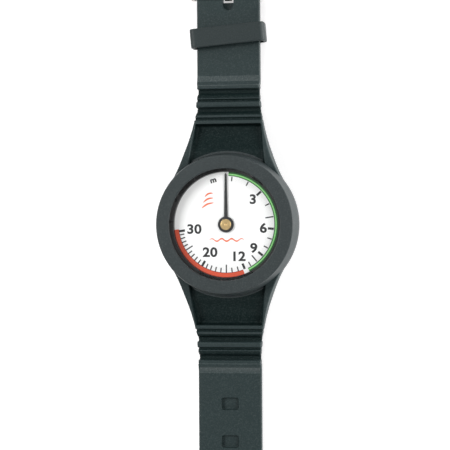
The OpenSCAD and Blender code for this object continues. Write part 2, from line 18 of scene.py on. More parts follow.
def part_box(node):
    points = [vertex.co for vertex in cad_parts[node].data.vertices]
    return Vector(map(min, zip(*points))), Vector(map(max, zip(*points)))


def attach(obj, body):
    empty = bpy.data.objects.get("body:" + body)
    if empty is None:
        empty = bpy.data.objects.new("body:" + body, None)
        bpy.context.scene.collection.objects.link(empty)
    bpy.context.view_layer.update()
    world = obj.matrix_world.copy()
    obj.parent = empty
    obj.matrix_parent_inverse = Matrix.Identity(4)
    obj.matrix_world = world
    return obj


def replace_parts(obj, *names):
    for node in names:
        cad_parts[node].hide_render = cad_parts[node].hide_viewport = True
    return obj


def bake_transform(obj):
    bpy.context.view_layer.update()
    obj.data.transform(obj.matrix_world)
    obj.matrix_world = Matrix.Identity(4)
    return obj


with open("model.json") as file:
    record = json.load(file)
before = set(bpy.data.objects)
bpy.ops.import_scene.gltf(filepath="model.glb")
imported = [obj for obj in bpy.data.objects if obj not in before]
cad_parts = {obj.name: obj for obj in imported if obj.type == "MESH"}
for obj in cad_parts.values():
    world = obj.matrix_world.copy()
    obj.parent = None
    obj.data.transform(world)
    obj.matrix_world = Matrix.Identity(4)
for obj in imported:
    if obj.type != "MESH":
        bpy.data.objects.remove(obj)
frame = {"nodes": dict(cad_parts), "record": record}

log = logging.getLogger("depth_gauge")
MM = 0.001
Point2 = tuple[float, float]
Colour = tuple[float, float, float]
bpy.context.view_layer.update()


# ---------------------------------------------------------------- shaders

class Value:
    """A number that runs through a shader, so that shader maths reads as plain maths."""

    def __init__(self, shader: "Shader", socket: bpy.types.NodeSocket) -> None:
        """Wraps one output socket of the shader."""
        self.shader = shader
        self.socket = socket

    def _maths(self, operation: str, first: object, second: object = 0.0) -> "Value":
        """Adds a Math node.

        Args:
            operation: the Math node's operation.
            first: its first input, a number or a Value.
            second: its second input, a number or a Value.

        Returns:
            The node's result.
        """
        made = self.shader.node("ShaderNodeMath", {"operation": operation}, {0: first, 1: second})
        return Value(self.shader, made.outputs[0])

    def __add__(self, other: object) -> "Value":
        """This value plus another."""
        return self._maths("ADD", self, other)

    def __radd__(self, other: object) -> "Value":
        """Another number plus this value."""
        return self._maths("ADD", other, self)

    def __sub__(self, other: object) -> "Value":
        """This value less another."""
        return self._maths("SUBTRACT", self, other)

    def __rsub__(self, other: object) -> "Value":
        """Another number less this value."""
        return self._maths("SUBTRACT", other, self)

    def __mul__(self, other: object) -> "Value":
        """This value times another."""
        return self._maths("MULTIPLY", self, other)

    def __rmul__(self, other: object) -> "Value":
        """Another number times this value."""
        return self._maths("MULTIPLY", other, self)

    def power(self, exponent: float) -> "Value":
        """This value raised to a power."""
        return self._maths("POWER", self, exponent)

    def sine(self) -> "Value":
        """The sine of this value."""
        return self._maths("SINE", self)

    def kept_in(self) -> "Value":
        """This value held between nought and one."""
        made = self.shader.node("ShaderNodeClamp", {}, {0: self})
        return Value(self.shader, made.outputs[0])


class Shader:
    """The node tree of one material, with its surface shader ready to feed."""

    def __init__(self, name: str) -> None:
        """Makes the material.

        Args:
            name: the material's name.
        """
        self.material = bpy.data.materials.new(name)
        self.material.use_nodes = True
        self.tree = self.material.node_tree
        self.surface = self.tree.nodes["Principled BSDF"]
        self._place = self.node("ShaderNodeTexCoord").outputs["Object"]

    def node(self, kind: str, settings: dict[str, object] | None = None,
             inputs: dict[object, object] | None = None) -> bpy.types.Node:
        """Adds a node.

        Args:
            kind: the node's type.
            settings: its own properties; "stops" gives a ramp's (place, colour) pairs.
            inputs: a value or a link for each named or numbered socket.

        Returns:
            The new node.
        """
        made = self.tree.nodes.new(kind)
        for key, setting in (settings or {}).items():
            if key == "stops":
                ramp = made.color_ramp.elements
                while len(ramp) < len(setting):
                    ramp.new(0.5)
                for element, (place, colour) in zip(ramp, setting):
                    element.position = place
                    element.color = (*colour, 1.0)
            else:
                setattr(made, key, setting)
        for key, given in (inputs or {}).items():
            self.feed(made.inputs[key], given)
        return made

    def feed(self, socket: bpy.types.NodeSocket, given: object) -> None:
        """Links a socket to a Value or another socket, or sets its constant.

        Args:
            socket: an input of some node.
            given: a Value, a socket, a colour or a number.
        """
        if isinstance(given, Value):
            given = given.socket
        if isinstance(given, bpy.types.NodeSocket):
            self.tree.links.new(given, socket)
        elif isinstance(given, tuple) and len(given) == 3 and len(socket.default_value) == 4:
            socket.default_value = (*given, 1.0)
        else:
            socket.default_value = given

    def set(self, **constants: object) -> None:
        """Sets the surface shader's own sockets, named with _ for each space."""
        for key, given in constants.items():
            self.feed(self.surface.inputs[key.replace("_", " ")], given)

    def noise(self, size: float, detail: float = 2.0, roughness: float = 0.5,
              stretch: Colour = (1.0, 1.0, 1.0)) -> Value:
        """Cloudy variation over the surface.

        Args:
            size: size of one cloud, in metres.
            detail: octaves of finer cloud.
            roughness: strength of the finer octaves.
            stretch: how much finer it runs along each axis.

        Returns:
            A value around one half.
        """
        place = self.node("ShaderNodeMapping", {}, {"Vector": self._place, "Scale": stretch})
        made = self.node("ShaderNodeTexNoise", {},
                         {"Vector": place.outputs[0], "Scale": 1.0 / size, "Detail": detail,
                          "Roughness": roughness})
        return Value(self, made.outputs[0])

    def cells(self, size: float) -> Value:
        """Distance from the middle of each of many small round cells of that size."""
        made = self.node("ShaderNodeTexVoronoi", {}, {"Vector": self._place, "Scale": 1.0 / size})
        return Value(self, made.outputs["Distance"])

    def axis(self, letter: str) -> Value:
        """The place along one axis, in metres."""
        split = self.node("ShaderNodeSeparateXYZ", {}, {0: self._place})
        return Value(self, split.outputs[letter])

    def blend(self, mask: Value, low: object, high: object) -> bpy.types.NodeSocket:
        """Mixes two colours.

        Args:
            mask: nought for the low colour and one for the high one.
            low: a colour or a link.
            high: a colour or a link.

        Returns:
            The mixed colour's socket.
        """
        made = self.node("ShaderNodeMix", {"data_type": "RGBA"}, {"Factor": mask.kept_in(),
                                                                 6: low, 7: high})
        return made.outputs[2]

    def bump(self, height: Value, depth: float, strength: float = 1.0) -> None:
        """Raises the surface by a height map.

        Args:
            height: nought to one.
            depth: metres between nought and one.
            strength: how much of it shows.
        """
        made = self.node("ShaderNodeBump", {}, {"Height": height, "Distance": depth,
                                                "Strength": strength})
        self.set(Normal=made.outputs[0])


# ---------------------------------------------------------------- finishes

def scaled(colour: Colour, by: float) -> Colour:
    """A colour made lighter or darker."""
    return tuple(min(1.0, part * by) for part in colour)


@dataclass(frozen=True)
class MouldedRubber:
    """Matt moulded rubber with the spark-eroded grain of its mould."""

    name: str
    colour: Colour
    grain: float = 0.42 * MM
    relief: float = 0.07 * MM
    roughness: float = 0.5
    speckle: float = 0.5
    gloss: float = 0.3

    def build(self) -> bpy.types.Material:
        """Builds the grain, the cloudy tone and the dust.

        Returns:
            The material.
        """
        shader = Shader(self.name)
        grain = shader.noise(self.grain, 3.0, 0.6)
        pits = shader.cells(self.grain * 1.6)
        clouds = shader.noise(9 * MM, 3.0)
        dust = (shader.noise(0.55 * MM, 2.0, 0.7) - 0.47) * 6 * self.speckle
        tone = shader.blend((clouds - 0.3) * 2.5, scaled(self.colour, 0.86),
                            scaled(self.colour, 1.14))
        tone = shader.blend((grain - 0.4) * 4 * self.speckle, scaled(self.colour, 0.75), tone)
        tone = shader.blend(dust * 0.25, tone, (0.1, 0.12, 0.12))
        shader.set(Base_Color=tone, Roughness=self.roughness + (grain - 0.5) * 0.25,
                   Specular_IOR_Level=self.gloss, IOR=1.5)
        shader.bump(grain * 0.7 + pits * 0.3, self.relief)
        return shader.material


@dataclass(frozen=True)
class SmoothPlastic:
    """Moulded plastic or seal rubber, from satin to gloss."""

    name: str
    colour: Colour
    roughness: float = 0.35
    gloss: float = 0.5

    def build(self) -> bpy.types.Material:
        """Builds the haze and the finest unevenness of the mould.

        Returns:
            The material.
        """
        shader = Shader(self.name)
        haze = shader.noise(4 * MM, 4.0)
        fine = shader.noise(0.3 * MM, 2.0)
        tone = shader.blend(haze, scaled(self.colour, 0.9), scaled(self.colour, 1.1))
        shader.set(Base_Color=tone, Roughness=self.roughness + (haze - 0.5) * 0.12,
                   Specular_IOR_Level=self.gloss)
        shader.bump(fine, 0.004 * MM, 0.5)
        return shader.material


@dataclass(frozen=True)
class PrintedInk:
    """Screen-printed ink or a lacquered plate, with the faint tooth of the print."""

    name: str
    colour: Colour
    roughness: float = 0.45
    shift: float = 0.05

    def build(self) -> bpy.types.Material:
        """Builds the patchy ink and the tooth of the print.

        Returns:
            The material.
        """
        shader = Shader(self.name)
        patch = shader.noise(3 * MM, 3.0)
        tooth = shader.noise(0.12 * MM, 2.0)
        tone = shader.blend(patch, scaled(self.colour, 1 - self.shift),
                            scaled(self.colour, 1 + self.shift))
        shader.set(Base_Color=tone, Roughness=self.roughness + (tooth - 0.5) * 0.1)
        shader.bump(tooth, 0.002 * MM, 0.4)
        return shader.material


class Lay(Enum):
    """Which way the tool marks run on a metal."""

    ROUND = "round"
    ALONG_X = "along x"
    ALONG_Y = "along y"


@dataclass(frozen=True)
class WorkedMetal:
    """Metal with the fine marks of the tool that cut or polished it."""

    name: str
    colour: Colour
    roughness: float = 0.25
    lay: Lay = Lay.ALONG_X
    pitch: float = 0.12 * MM
    relief: float = 0.006 * MM
    stained: float = 0.15

    def build(self) -> bpy.types.Material:
        """Builds the tool marks and the stain.

        Returns:
            The material.
        """
        shader = Shader(self.name)
        if self.lay is Lay.ROUND:
            radius = (shader.axis("X").power(2.0) + shader.axis("Y").power(2.0)).power(0.5)
            marks = (radius * (2 * math.pi / self.pitch)).sine() * 0.5 + 0.5
        else:
            fine = (1.0, 12.0, 12.0) if self.lay is Lay.ALONG_X else (12.0, 1.0, 12.0)
            marks = shader.noise(self.pitch * 12, 3.0, 0.6, fine)
        stain = shader.noise(2.5 * MM, 4.0, 0.6)
        tone = shader.blend(stain, scaled(self.colour, 1 - self.stained * 1.2),
                            scaled(self.colour, 1 + self.stained * 0.8))
        shader.set(Base_Color=tone, Metallic=1.0, Roughness=(
            self.roughness + (marks - 0.5) * 0.15 + (stain - 0.5) * self.stained))
        shader.bump(marks, self.relief, 0.6)
        return shader.material


@dataclass(frozen=True)
class ClearLens:
    """Clear moulded lens: it hides next to nothing and glints at a slant."""

    name: str
    haze: float = 0.01

    def build(self) -> bpy.types.Material:
        """Builds the wiped haze, and a rim that shows at a slant.

        Returns:
            The material.
        """
        shader = Shader(self.name)
        wipe = shader.noise(6 * MM, 3.0, 0.6)
        rim = shader.node("ShaderNodeLayerWeight", {}, {"Blend": 0.25})
        shader.set(Base_Color=(0.8, 0.84, 0.84), Roughness=0.03 + wipe * 0.05,
                   Alpha=self.haze + Value(shader, rim.outputs["Facing"]).power(3.0) * 0.25,
                   Specular_IOR_Level=0.25)
        return shader.material


@dataclass(frozen=True)
class PaleBoard:
    """White board that the gauge lies on."""

    name: str = "white_board"

    def build(self) -> bpy.types.Material:
        """Builds the board, which glows faintly so that its shadows stay light.

        Returns:
            The material.
        """
        shader = Shader(self.name)
        shader.set(Base_Color=(0.8, 0.795, 0.795), Roughness=0.8,
                   Emission_Color=(1.0, 0.995, 0.995), Emission_Strength=0.45)
        return shader.material


class Finish(Enum):
    """Every finish on the gauge, with the record's slot that it stands for."""

    BOOT = ("boot_rubber", MouldedRubber("boot_rubber_finish", (0.024, 0.034, 0.036), gloss=0.4))
    STRAP = ("strap_rubber", MouldedRubber("strap_rubber_finish", (0.014, 0.029, 0.03)))
    # Painted shade: darker, less glossy rubber put on the sunk panel and in the grooves for the
    # shade that falls there.
    HOLLOW = ("strap_rubber", MouldedRubber("strap_hollow_finish", (0.003, 0.012, 0.012),
                                            speckle=0.5, roughness=0.6, gloss=0.12))
    # Painted highlight: lighter, more speckled rubber on the band where the slope bends down to
    # the flat, for the reflection there.
    SCUFFED = ("strap_rubber", MouldedRubber("strap_scuffed_finish", (0.03, 0.046, 0.047),
                                             speckle=1.2, roughness=0.45, gloss=0.4))
    KEEPER = ("keeper_rubber", MouldedRubber("keeper_rubber_finish", (0.019, 0.03, 0.031),
                                             speckle=0.25, roughness=0.5))
    SEAL = ("seal_rubber", SmoothPlastic("seal_rubber_finish", (0.016, 0.016, 0.017), 0.6))
    PLASTIC = ("black_plastic", SmoothPlastic("black_plastic_finish", (0.01, 0.011, 0.012), 0.4,
                                              0.3))
    GLOSS = ("black_gloss", SmoothPlastic("black_gloss_finish", (0.004, 0.004, 0.005), 0.2, 0.3))
    LENS = ("clear_lens", ClearLens("clear_lens_finish"))
    DIAL = ("dial_white", PrintedInk("dial_white_finish", (0.88, 0.885, 0.88), 0.5, 0.02))
    BLACK_INK = ("pointer_black", PrintedInk("black_ink_finish", (0.012, 0.012, 0.014)))
    GREEN_INK = ("dial_white", PrintedInk("green_ink_finish", (0.26, 0.72, 0.22)))
    # The dark green is the band's printed inner edge, and painted shadow of the lip on its outer
    # rim.
    GREEN_EDGE = ("dial_white", PrintedInk("green_edge_finish", (0.006, 0.09, 0.012)))
    RED_INK = ("dial_white", PrintedInk("red_ink_finish", (0.66, 0.07, 0.022)))
    RED_EDGE = ("dial_white", PrintedInk("red_edge_finish", (0.16, 0.008, 0.008)))
    ORANGE_INK = ("dial_white", PrintedInk("orange_ink_finish", (0.72, 0.15, 0.06)))
    POINTER = ("pointer_black", SmoothPlastic("pointer_finish", (0.006, 0.006, 0.007), 0.45))
    BOSS = ("boss_brass", WorkedMetal("boss_brass_finish", (0.78, 0.56, 0.26), 0.36, Lay.ROUND,
                                      0.45 * MM, 0.02 * MM, 0.03))
    BRASS = ("brass", WorkedMetal("brass_finish", (0.72, 0.53, 0.24), 0.28, Lay.ALONG_X))
    BRONZE = ("bronze", WorkedMetal("bronze_finish", (0.66, 0.42, 0.22), 0.3, Lay.ALONG_Y))
    STEEL = ("steel", WorkedMetal("steel_finish", (0.62, 0.61, 0.6), 0.25, Lay.ALONG_Y))
    BLUED = ("spring_steel", WorkedMetal("blued_finish", (0.2, 0.27, 0.45), 0.2, Lay.ALONG_X))
    BUCKLE = ("buckle_steel", WorkedMetal("buckle_finish", (0.66, 0.62, 0.6), 0.18, Lay.ALONG_X,
                                          0.2 * MM))

    @property
    def slot(self) -> str:
        """The record's material slot."""
        return self.value[0]

    def material(self) -> bpy.types.Material:
        """The finish's material, made the first time that it is asked for."""
        recipe = self.value[1]
        return bpy.data.materials.get(recipe.name) or recipe.build()


# ---------------------------------------------------------------- workshop

def arc(centre: Point2, radius: float | Point2, start: float, end: float,
        steps: int) -> list[Point2]:
    """Points along an arc.

    Args:
        centre: its centre.
        radius: its radius, or one for each axis.
        start: first angle, in degrees.
        end: last angle, in degrees.
        steps: chords along it.

    Returns:
        The points, both ends included.
    """
    across, up = radius if isinstance(radius, tuple) else (radius, radius)
    angles = [math.radians(start + (end - start) * i / steps) for i in range(steps + 1)]
    return [(centre[0] + across * math.cos(a), centre[1] + up * math.sin(a)) for a in angles]


def rounded(corners: Sequence[tuple[float, float, float]], closed: bool = True,
            steps: int = 5) -> list[Point2]:
    """An outline whose corners are rounded.

    Args:
        corners: (x, y, radius) of each corner; a radius of nought keeps it sharp.
        closed: whether the last corner joins the first.
        steps: chords in each rounding.

    Returns:
        The outline's points.
    """
    points: list[Point2] = []
    count = len(corners)
    for i, (x, y, radius) in enumerate(corners):
        here = Vector((x, y))
        if radius <= 0 or (not closed and i in (0, count - 1)):
            points.append((x, y))
            continue
        back = Vector(corners[i - 1][:2]) - here
        on = Vector(corners[(i + 1) % count][:2]) - here
        reach = min(radius, back.length * 0.49, on.length * 0.49)
        first, last = here + back.normalized() * reach, here + on.normalized() * reach
        for k in range(steps + 1):
            t = k / steps
            bend = first * (1 - t) ** 2 + here * (2 * t * (1 - t)) + last * t ** 2
            points.append((bend.x, bend.y))
    return points


def interpolate(line: Sequence[Point2], x: float) -> float:
    """Height of a line of points at a place, held level past its ends.

    Args:
        line: (x, y) points in order of x.
        x: the place.

    Returns:
        The height there.
    """
    if x <= line[0][0]:
        return line[0][1]
    for (x0, y0), (x1, y1) in zip(line, line[1:]):
        if x <= x1:
            return y0 + (y1 - y0) * (x - x0) / max(x1 - x0, 1e-9)
    return line[-1][1]


def finished(name: str, mesh: bmesh.types.BMesh, finish: Finish, body: str,
             crease: float = 40.0) -> bpy.types.Object:
    """Turns a bmesh into a dressed object, attached to its body where it has one.

    Args:
        name: the piece's name.
        mesh: its faces; it is freed.
        finish: its finish.
        body: the CAD body that it rides on, or "" for a piece that is left unattached.
        crease: edges sharper than this many degrees stay crisp.

    Returns:
        The object.
    """
    bmesh.ops.remove_doubles(mesh, verts=mesh.verts, dist=2e-7)
    bmesh.ops.dissolve_degenerate(mesh, edges=mesh.edges, dist=2e-7)
    bmesh.ops.recalc_face_normals(mesh, faces=mesh.faces)
    for face in mesh.faces:
        face.smooth = True
    for edge in mesh.edges:
        if len(edge.link_faces) == 2 and edge.calc_face_angle(0.0) > math.radians(crease):
            edge.smooth = False
    data = bpy.data.meshes.new(name)
    mesh.to_mesh(data)
    mesh.free()
    made = bpy.data.objects.new(name, data)
    bpy.context.scene.collection.objects.link(made)
    made.data.materials.append(finish.material())
    even = made.modifiers.new("even_shading", "WEIGHTED_NORMAL")
    even.keep_sharp = True
    if body:
        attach(made, body)
    log.info("%s: %d faces on %s", name, len(data.polygons), body or "a bend")
    return made


def skin(mesh: bmesh.types.BMesh, rings: Sequence[Sequence[Vector]], caps: bool = True,
         loop: bool = False) -> None:
    """Joins rings of points into a tube.

    Args:
        mesh: where the faces go.
        rings: closed rings, each with as many points.
        caps: whether the two ends are closed.
        loop: whether the last ring joins the first.
    """
    made = [[mesh.verts.new(point) for point in ring] for ring in rings]
    count = len(made[0])
    pairs = list(zip(made, made[1:])) + ([(made[-1], made[0])] if loop else [])
    for low, high in pairs:
        for i in range(count):
            k = (i + 1) % count
            mesh.faces.new((low[i], low[k], high[k], high[i]))
    if caps and not loop:
        mesh.faces.new(list(reversed(made[0])))
        mesh.faces.new(made[-1])


def lathe(mesh: bmesh.types.BMesh, outline: Sequence[Point2], steps: int = 180,
          start: float = 0.0, sweep: float = 360.0) -> None:
    """Turns an outline of (radius, height) points about Z.

    Args:
        mesh: where the faces go.
        outline: a closed outline.
        steps: sides of the turned shape.
        start: first angle, in degrees.
        sweep: angle that it is turned through.
    """
    whole = sweep >= 360.0
    angles = [math.radians(start + sweep * i / steps) for i in range(steps + (not whole))]
    rings = [[Vector((r * math.cos(a), r * math.sin(a), z)) for r, z in outline] for a in angles]
    skin(mesh, rings, caps=not whole, loop=whole)


def turned(corners: Sequence[tuple[float, float, float]], steps: int = 180, start: float = 0.0,
           sweep: float = 360.0) -> bmesh.types.BMesh:
    """A new mesh, turned from a closed outline with rounded corners.

    Args:
        corners: (radius, height, rounding) of each corner.
        steps: sides of the turned shape.
        start: first angle, in degrees.
        sweep: angle that it is turned through.

    Returns:
        The mesh.
    """
    mesh = bmesh.new()
    lathe(mesh, rounded(corners), steps, start, sweep)
    return mesh


def prism(mesh: bmesh.types.BMesh, plan: Sequence[Point2], low: float, high: float) -> None:
    """Raises a flat plan into a closed block.

    Args:
        mesh: where the faces go.
        plan: its (x, y) outline.
        low: height of its underside.
        high: height of its top.
    """
    skin(mesh, [[Vector((x, y, z)) for x, y in plan] for z in (low, high)])


def plate(mesh: bmesh.types.BMesh, outline: Sequence[Point2], low: float, high: float,
          edge: float) -> None:
    """A flat plate with softened top edges.

    Args:
        mesh: where the faces go.
        outline: its plan, counter-clockwise.
        low: height of its underside.
        high: height of its top.
        edge: how far the top edge is drawn in and down.
    """
    def inset(by: float) -> list[Point2]:
        """The plan drawn in.

        Args:
            by: how far every side moves in.

        Returns:
            The smaller plan.
        """
        result = []
        for i, (x, y) in enumerate(outline):
            before, after = Vector(outline[i - 1]), Vector(outline[(i + 1) % len(outline)])
            here = Vector((x, y))
            one, two = (here - before).normalized(), (after - here).normalized()
            normal = Vector((-(one.y + two.y), one.x + two.x))
            length = normal.length
            result.append((x + normal.x / length * by, y + normal.y / length * by)
                          if length > 1e-9 else (x, y))
        return result
    levels = [(outline, low), (outline, high - edge), (inset(edge * 0.3), high - edge * 0.3),
              (inset(edge), high)]
    skin(mesh, [[Vector((x, y, z)) for x, y in plan] for plan, z in levels])


def cut(piece: bpy.types.Object, cutter: bmesh.types.BMesh,
        operation: str = "DIFFERENCE") -> None:
    """Cuts a closed shape out of a piece, or joins it on, and frees the shape.

    Args:
        piece: what is cut.
        cutter: the closed shape.
        operation: DIFFERENCE to cut it away or UNION to join it on.
    """
    bmesh.ops.recalc_face_normals(cutter, faces=cutter.faces)
    data = bpy.data.meshes.new("cutter")
    cutter.to_mesh(data)
    cutter.free()
    tool = bpy.data.objects.new("cutter", data)
    bpy.context.scene.collection.objects.link(tool)
    step = piece.modifiers.new("cut", "BOOLEAN")
    step.operation = operation
    step.object = tool
    step.solver = "EXACT"
    piece.modifiers.move(len(piece.modifiers) - 1, 0)
    bpy.context.view_layer.update()
    graph = bpy.context.evaluated_depsgraph_get()
    for modifier in piece.modifiers:
        modifier.show_viewport = modifier.name == "cut"
    graph.update()
    result = bpy.data.meshes.new_from_object(piece.evaluated_get(graph))
    old = piece.data
    piece.data = result
    result.name = old.name
    piece.modifiers.remove(piece.modifiers["cut"])
    for modifier in piece.modifiers:
        modifier.show_viewport = True
    mesh = bmesh.new()
    mesh.from_mesh(result)
    for edge in mesh.edges:
        if len(edge.link_faces) == 2:
            edge.smooth = edge.calc_face_angle(0.0) < math.radians(40)
    for face in mesh.faces:
        face.smooth = True
    mesh.to_mesh(result)
    mesh.free()
    bpy.data.objects.remove(tool)
    bpy.data.meshes.remove(data)
    bpy.data.meshes.remove(old)


def dress(finish: Finish, *nodes: str) -> None:
    """Gives carried-over CAD nodes a finish in place of their plain material.

    Args:
        finish: the finish.
        nodes: names of the nodes.
    """
    for name in nodes:
        node = frame["nodes"][name]
        for slot in node.material_slots:
            slot.material = finish.material()
        if not node.material_slots:
            node.data.materials.append(finish.material())
        log.info("%s: dressed in %s", name, finish.name)


def joint(name: str) -> dict:
    """The record's entry for a joint."""
    return next(j for j in frame["record"]["behaviour"]["joints"] if j["name"] == name)


# ---------------------------------------------------------------- strap and boot

@dataclass
class StrapShape:
    """The strap and boot's common form, as heights and widths along one side.

    Distances run outwards from the case's middle; both sides have the same form.
    """

    half_width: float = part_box("tail_strap_tip")[1].x
    under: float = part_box("tail_strap_tip")[0].z
    top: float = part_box("tail_strap_tip")[1].z
    crest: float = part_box("buckle_strap_ribs")[1].z
    case_top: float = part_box("boot")[1].z
    case_r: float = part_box("boot")[1].x
    flex_1: float = joint("buckle_flex_1")["pos_m"][1]
    flex_2: float = joint("buckle_flex_2")["pos_m"][1]
    panel_end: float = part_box("boot")[1].x + 11.8 * MM
    flare_r: float = 76 * MM
    flare_at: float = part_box("boot")[1].x + 25.4 * MM
    inner_end: float = 18 * MM
    round_edge: float = 0.55 * MM
    nip: float = 0.3 * MM
    nip_depth: float = 1.8 * MM
    panel_wide: float = 15.2 * MM
    panel_narrows: float = 1.9 * MM
    panel_from: float = 25 * MM
    panel_run: float = 15.4 * MM

    def crest_line(self, end: float) -> list[Point2]:
        """Heights along the top of the side walls, ribs and flat strap.

        Args:
            end: distance of the last point.

        Returns:
            (distance, height) points, close together where the ribs turn.
        """
        rib, floor = self.crest, self.top - 1.0 * MM
        shoulder = self.case_top * 0.62
        corners = [(self.inner_end, shoulder, 0), (self.case_r, shoulder, 2.5 * MM),
                   (self.panel_end - 0.2 * MM, rib, 0.5 * MM),
                   (self.panel_end + 1.25 * MM, rib, 0.35 * MM),
                   (self.panel_end + 1.5 * MM, rib - 1.2 * MM, 0.2 * MM),
                   (self.panel_end + 2.2 * MM, rib - 1.2 * MM, 0.2 * MM),
                   (self.panel_end + 2.5 * MM, rib - 0.4 * MM, 0.35 * MM),
                   (self.flex_1 - 1.4 * MM, rib - 1.1 * MM, 0.8 * MM),
                   (self.flex_1 - 0.75 * MM, floor, 0.3 * MM)]
        pitch = self.flex_2 - self.flex_1
        at = self.flex_1
        corners += [(at + 0.75 * MM, floor, 0.3 * MM), (at + 1.1 * MM, rib - 0.25 * MM, 0.3 * MM),
                    (at + 1.7 * MM, rib, 0.4 * MM), (at + 3.1 * MM, rib, 0.3 * MM),
                    (at + 3.4 * MM, rib - 1.3 * MM, 0.2 * MM),
                    (at + 4.05 * MM, rib - 1.3 * MM, 0.2 * MM),
                    (at + 4.4 * MM, rib - 0.5 * MM, 0.35 * MM),
                    (at + pitch - 1.4 * MM, rib - 1.2 * MM, 0.8 * MM),
                    (at + pitch - 0.75 * MM, floor, 0.3 * MM)]
        at = self.flex_2
        corners += [(at + 0.75 * MM, floor, 0.3 * MM), (at + 1.1 * MM, rib - 0.6 * MM, 0.35 * MM),
                    (at + 3.2 * MM, rib - 0.75 * MM, 0.9 * MM),
                    (at + 5.7 * MM, self.top, 1.2 * MM), (end, self.top, 0)]
        return rounded(corners, closed=False, steps=5)

    def panel_line(self) -> list[Point2]:
        """Heights along the sunk panel between the case and the ribs.

        Returns:
            (distance, height) points.
        """
        return rounded([(self.inner_end, 9.0 * MM, 0), (self.case_r + 0.6 * MM, 8.8 * MM, 1 * MM),
                        (33 * MM, 6.0 * MM, 2 * MM), (self.panel_end - 3.9 * MM, 3.9 * MM, 2 * MM),
                        (self.panel_end - 1.0 * MM, 3.4 * MM, 0.8 * MM),
                        (self.panel_end - 0.2 * MM, self.crest, 0.1 * MM)], closed=False, steps=4)

    def under_line(self) -> list[Point2]:
        """Heights along the underside, from the case's flat back to the strap.

        Returns:
            (distance, height) points.
        """
        return rounded([(self.inner_end, 0, 0), (25.7 * MM, 0, 3 * MM),
                        (self.panel_end - 2.4 * MM, self.under, 6 * MM), (60 * MM, self.under, 0)],
                       closed=False, steps=6)

    def half_width_at(self, distance: float, top: float) -> float:
        """Half the width, which flares in an arc to the case and nips in at the grooves.

        Args:
            distance: distance from the case's middle.
            top: height of the strap's top there.

        Returns:
            Half the width.
        """
        wide = self.half_width
        if distance < self.flare_at:
            rise = self.flare_at - distance
            wide += self.flare_r - math.sqrt(self.flare_r ** 2 - rise ** 2)
        if self.panel_end + 1.3 * MM < distance < self.flex_2 + 3 * MM:
            wide -= self.nip * min(1.0, max(0.0, (self.crest - top) / self.nip_depth))
        return wide

    def panel_half(self, distance: float) -> float:
        """Half the width of the sunk panel, which narrows away from the case."""
        return (self.panel_wide
                - self.panel_narrows * (distance - self.panel_from) / self.panel_run)

    def ring(self, distance: float, crest: float, panel: float, under: float) -> list[Point2]:
        """Section of the strap at one distance, as a closed outline of (x, z) points.

        Args:
            distance: distance from the case's middle.
            crest: height of its side walls.
            panel: height of its middle; the same as crest where there is no sunk panel.
            under: height of its underside.

        Returns:
            The outline, counter-clockwise from the middle of the underside.
        """
        wide = self.half_width_at(distance, crest)
        thick = crest - under
        in_panel = distance < self.panel_end
        sunk = max(0.0, crest - panel)
        edge = self.panel_half(distance) if in_panel else self.half_width - 2.5 * MM
        edge = min(edge, wide - 0.5 * MM)
        round_top = min(self.round_edge, (wide - edge) * 0.42, thick * 0.3)
        round_under = min(self.round_edge + max(0.0, self.case_r - distance) * 0.35, thick * 0.3)
        inner = min(0.45 * MM, (wide - edge) * 0.4)
        half = [(wide * 0.45, under)]
        half += arc((wide - round_under, under + round_under), round_under, -90, 0, 4)
        half += [(wide, (under + crest) / 2)]
        half += arc((wide - round_top, crest - round_top), round_top, 0, 90, 5)
        half += arc((edge + inner, crest - sunk * 0.3), (inner, sunk * 0.3), 90, 180, 4)
        half += arc((edge - 1.4 * MM, panel + sunk * 0.5), (1.4 * MM, sunk * 0.5), 0, -90, 6)
        half += [(edge * 0.6, panel), (edge * 0.3, panel)]
        return [(0, under), *half, (0, panel), *[(-x, z) for x, z in reversed(half)]]

    def rings(self, start: float, end: float, side: int) -> list[list[Vector]]:
        """Rings of points from one distance to another.

        Args:
            start: first distance.
            end: last distance.
            side: 1 towards the buckle and -1 towards the tail.

        Returns:
            The rings, ready to skin.
        """
        crest, panel, under = self.crest_line(end + 1 * MM), self.panel_line(), self.under_line()
        places = [d for d, _ in crest + panel[:-1] + under if start < d < end] + [start, end]
        step = start
        while step < end:
            places.append(step)
            step += 0.7 * MM if step < self.panel_end else 2.5 * MM
        kept: list[float] = []
        for place in sorted(places):
            if not kept or place - kept[-1] > 0.02 * MM:
                kept.append(place)
        kept[-1] = end
        result = []
        for place in kept:
            high = interpolate(crest, place)
            low = min(high, interpolate(panel, place)) if place < self.panel_end else high
            outline = self.ring(place, high, low, interpolate(under, place))
            result.append([Vector((x, side * place, z)) for x, z in outline])
        return result


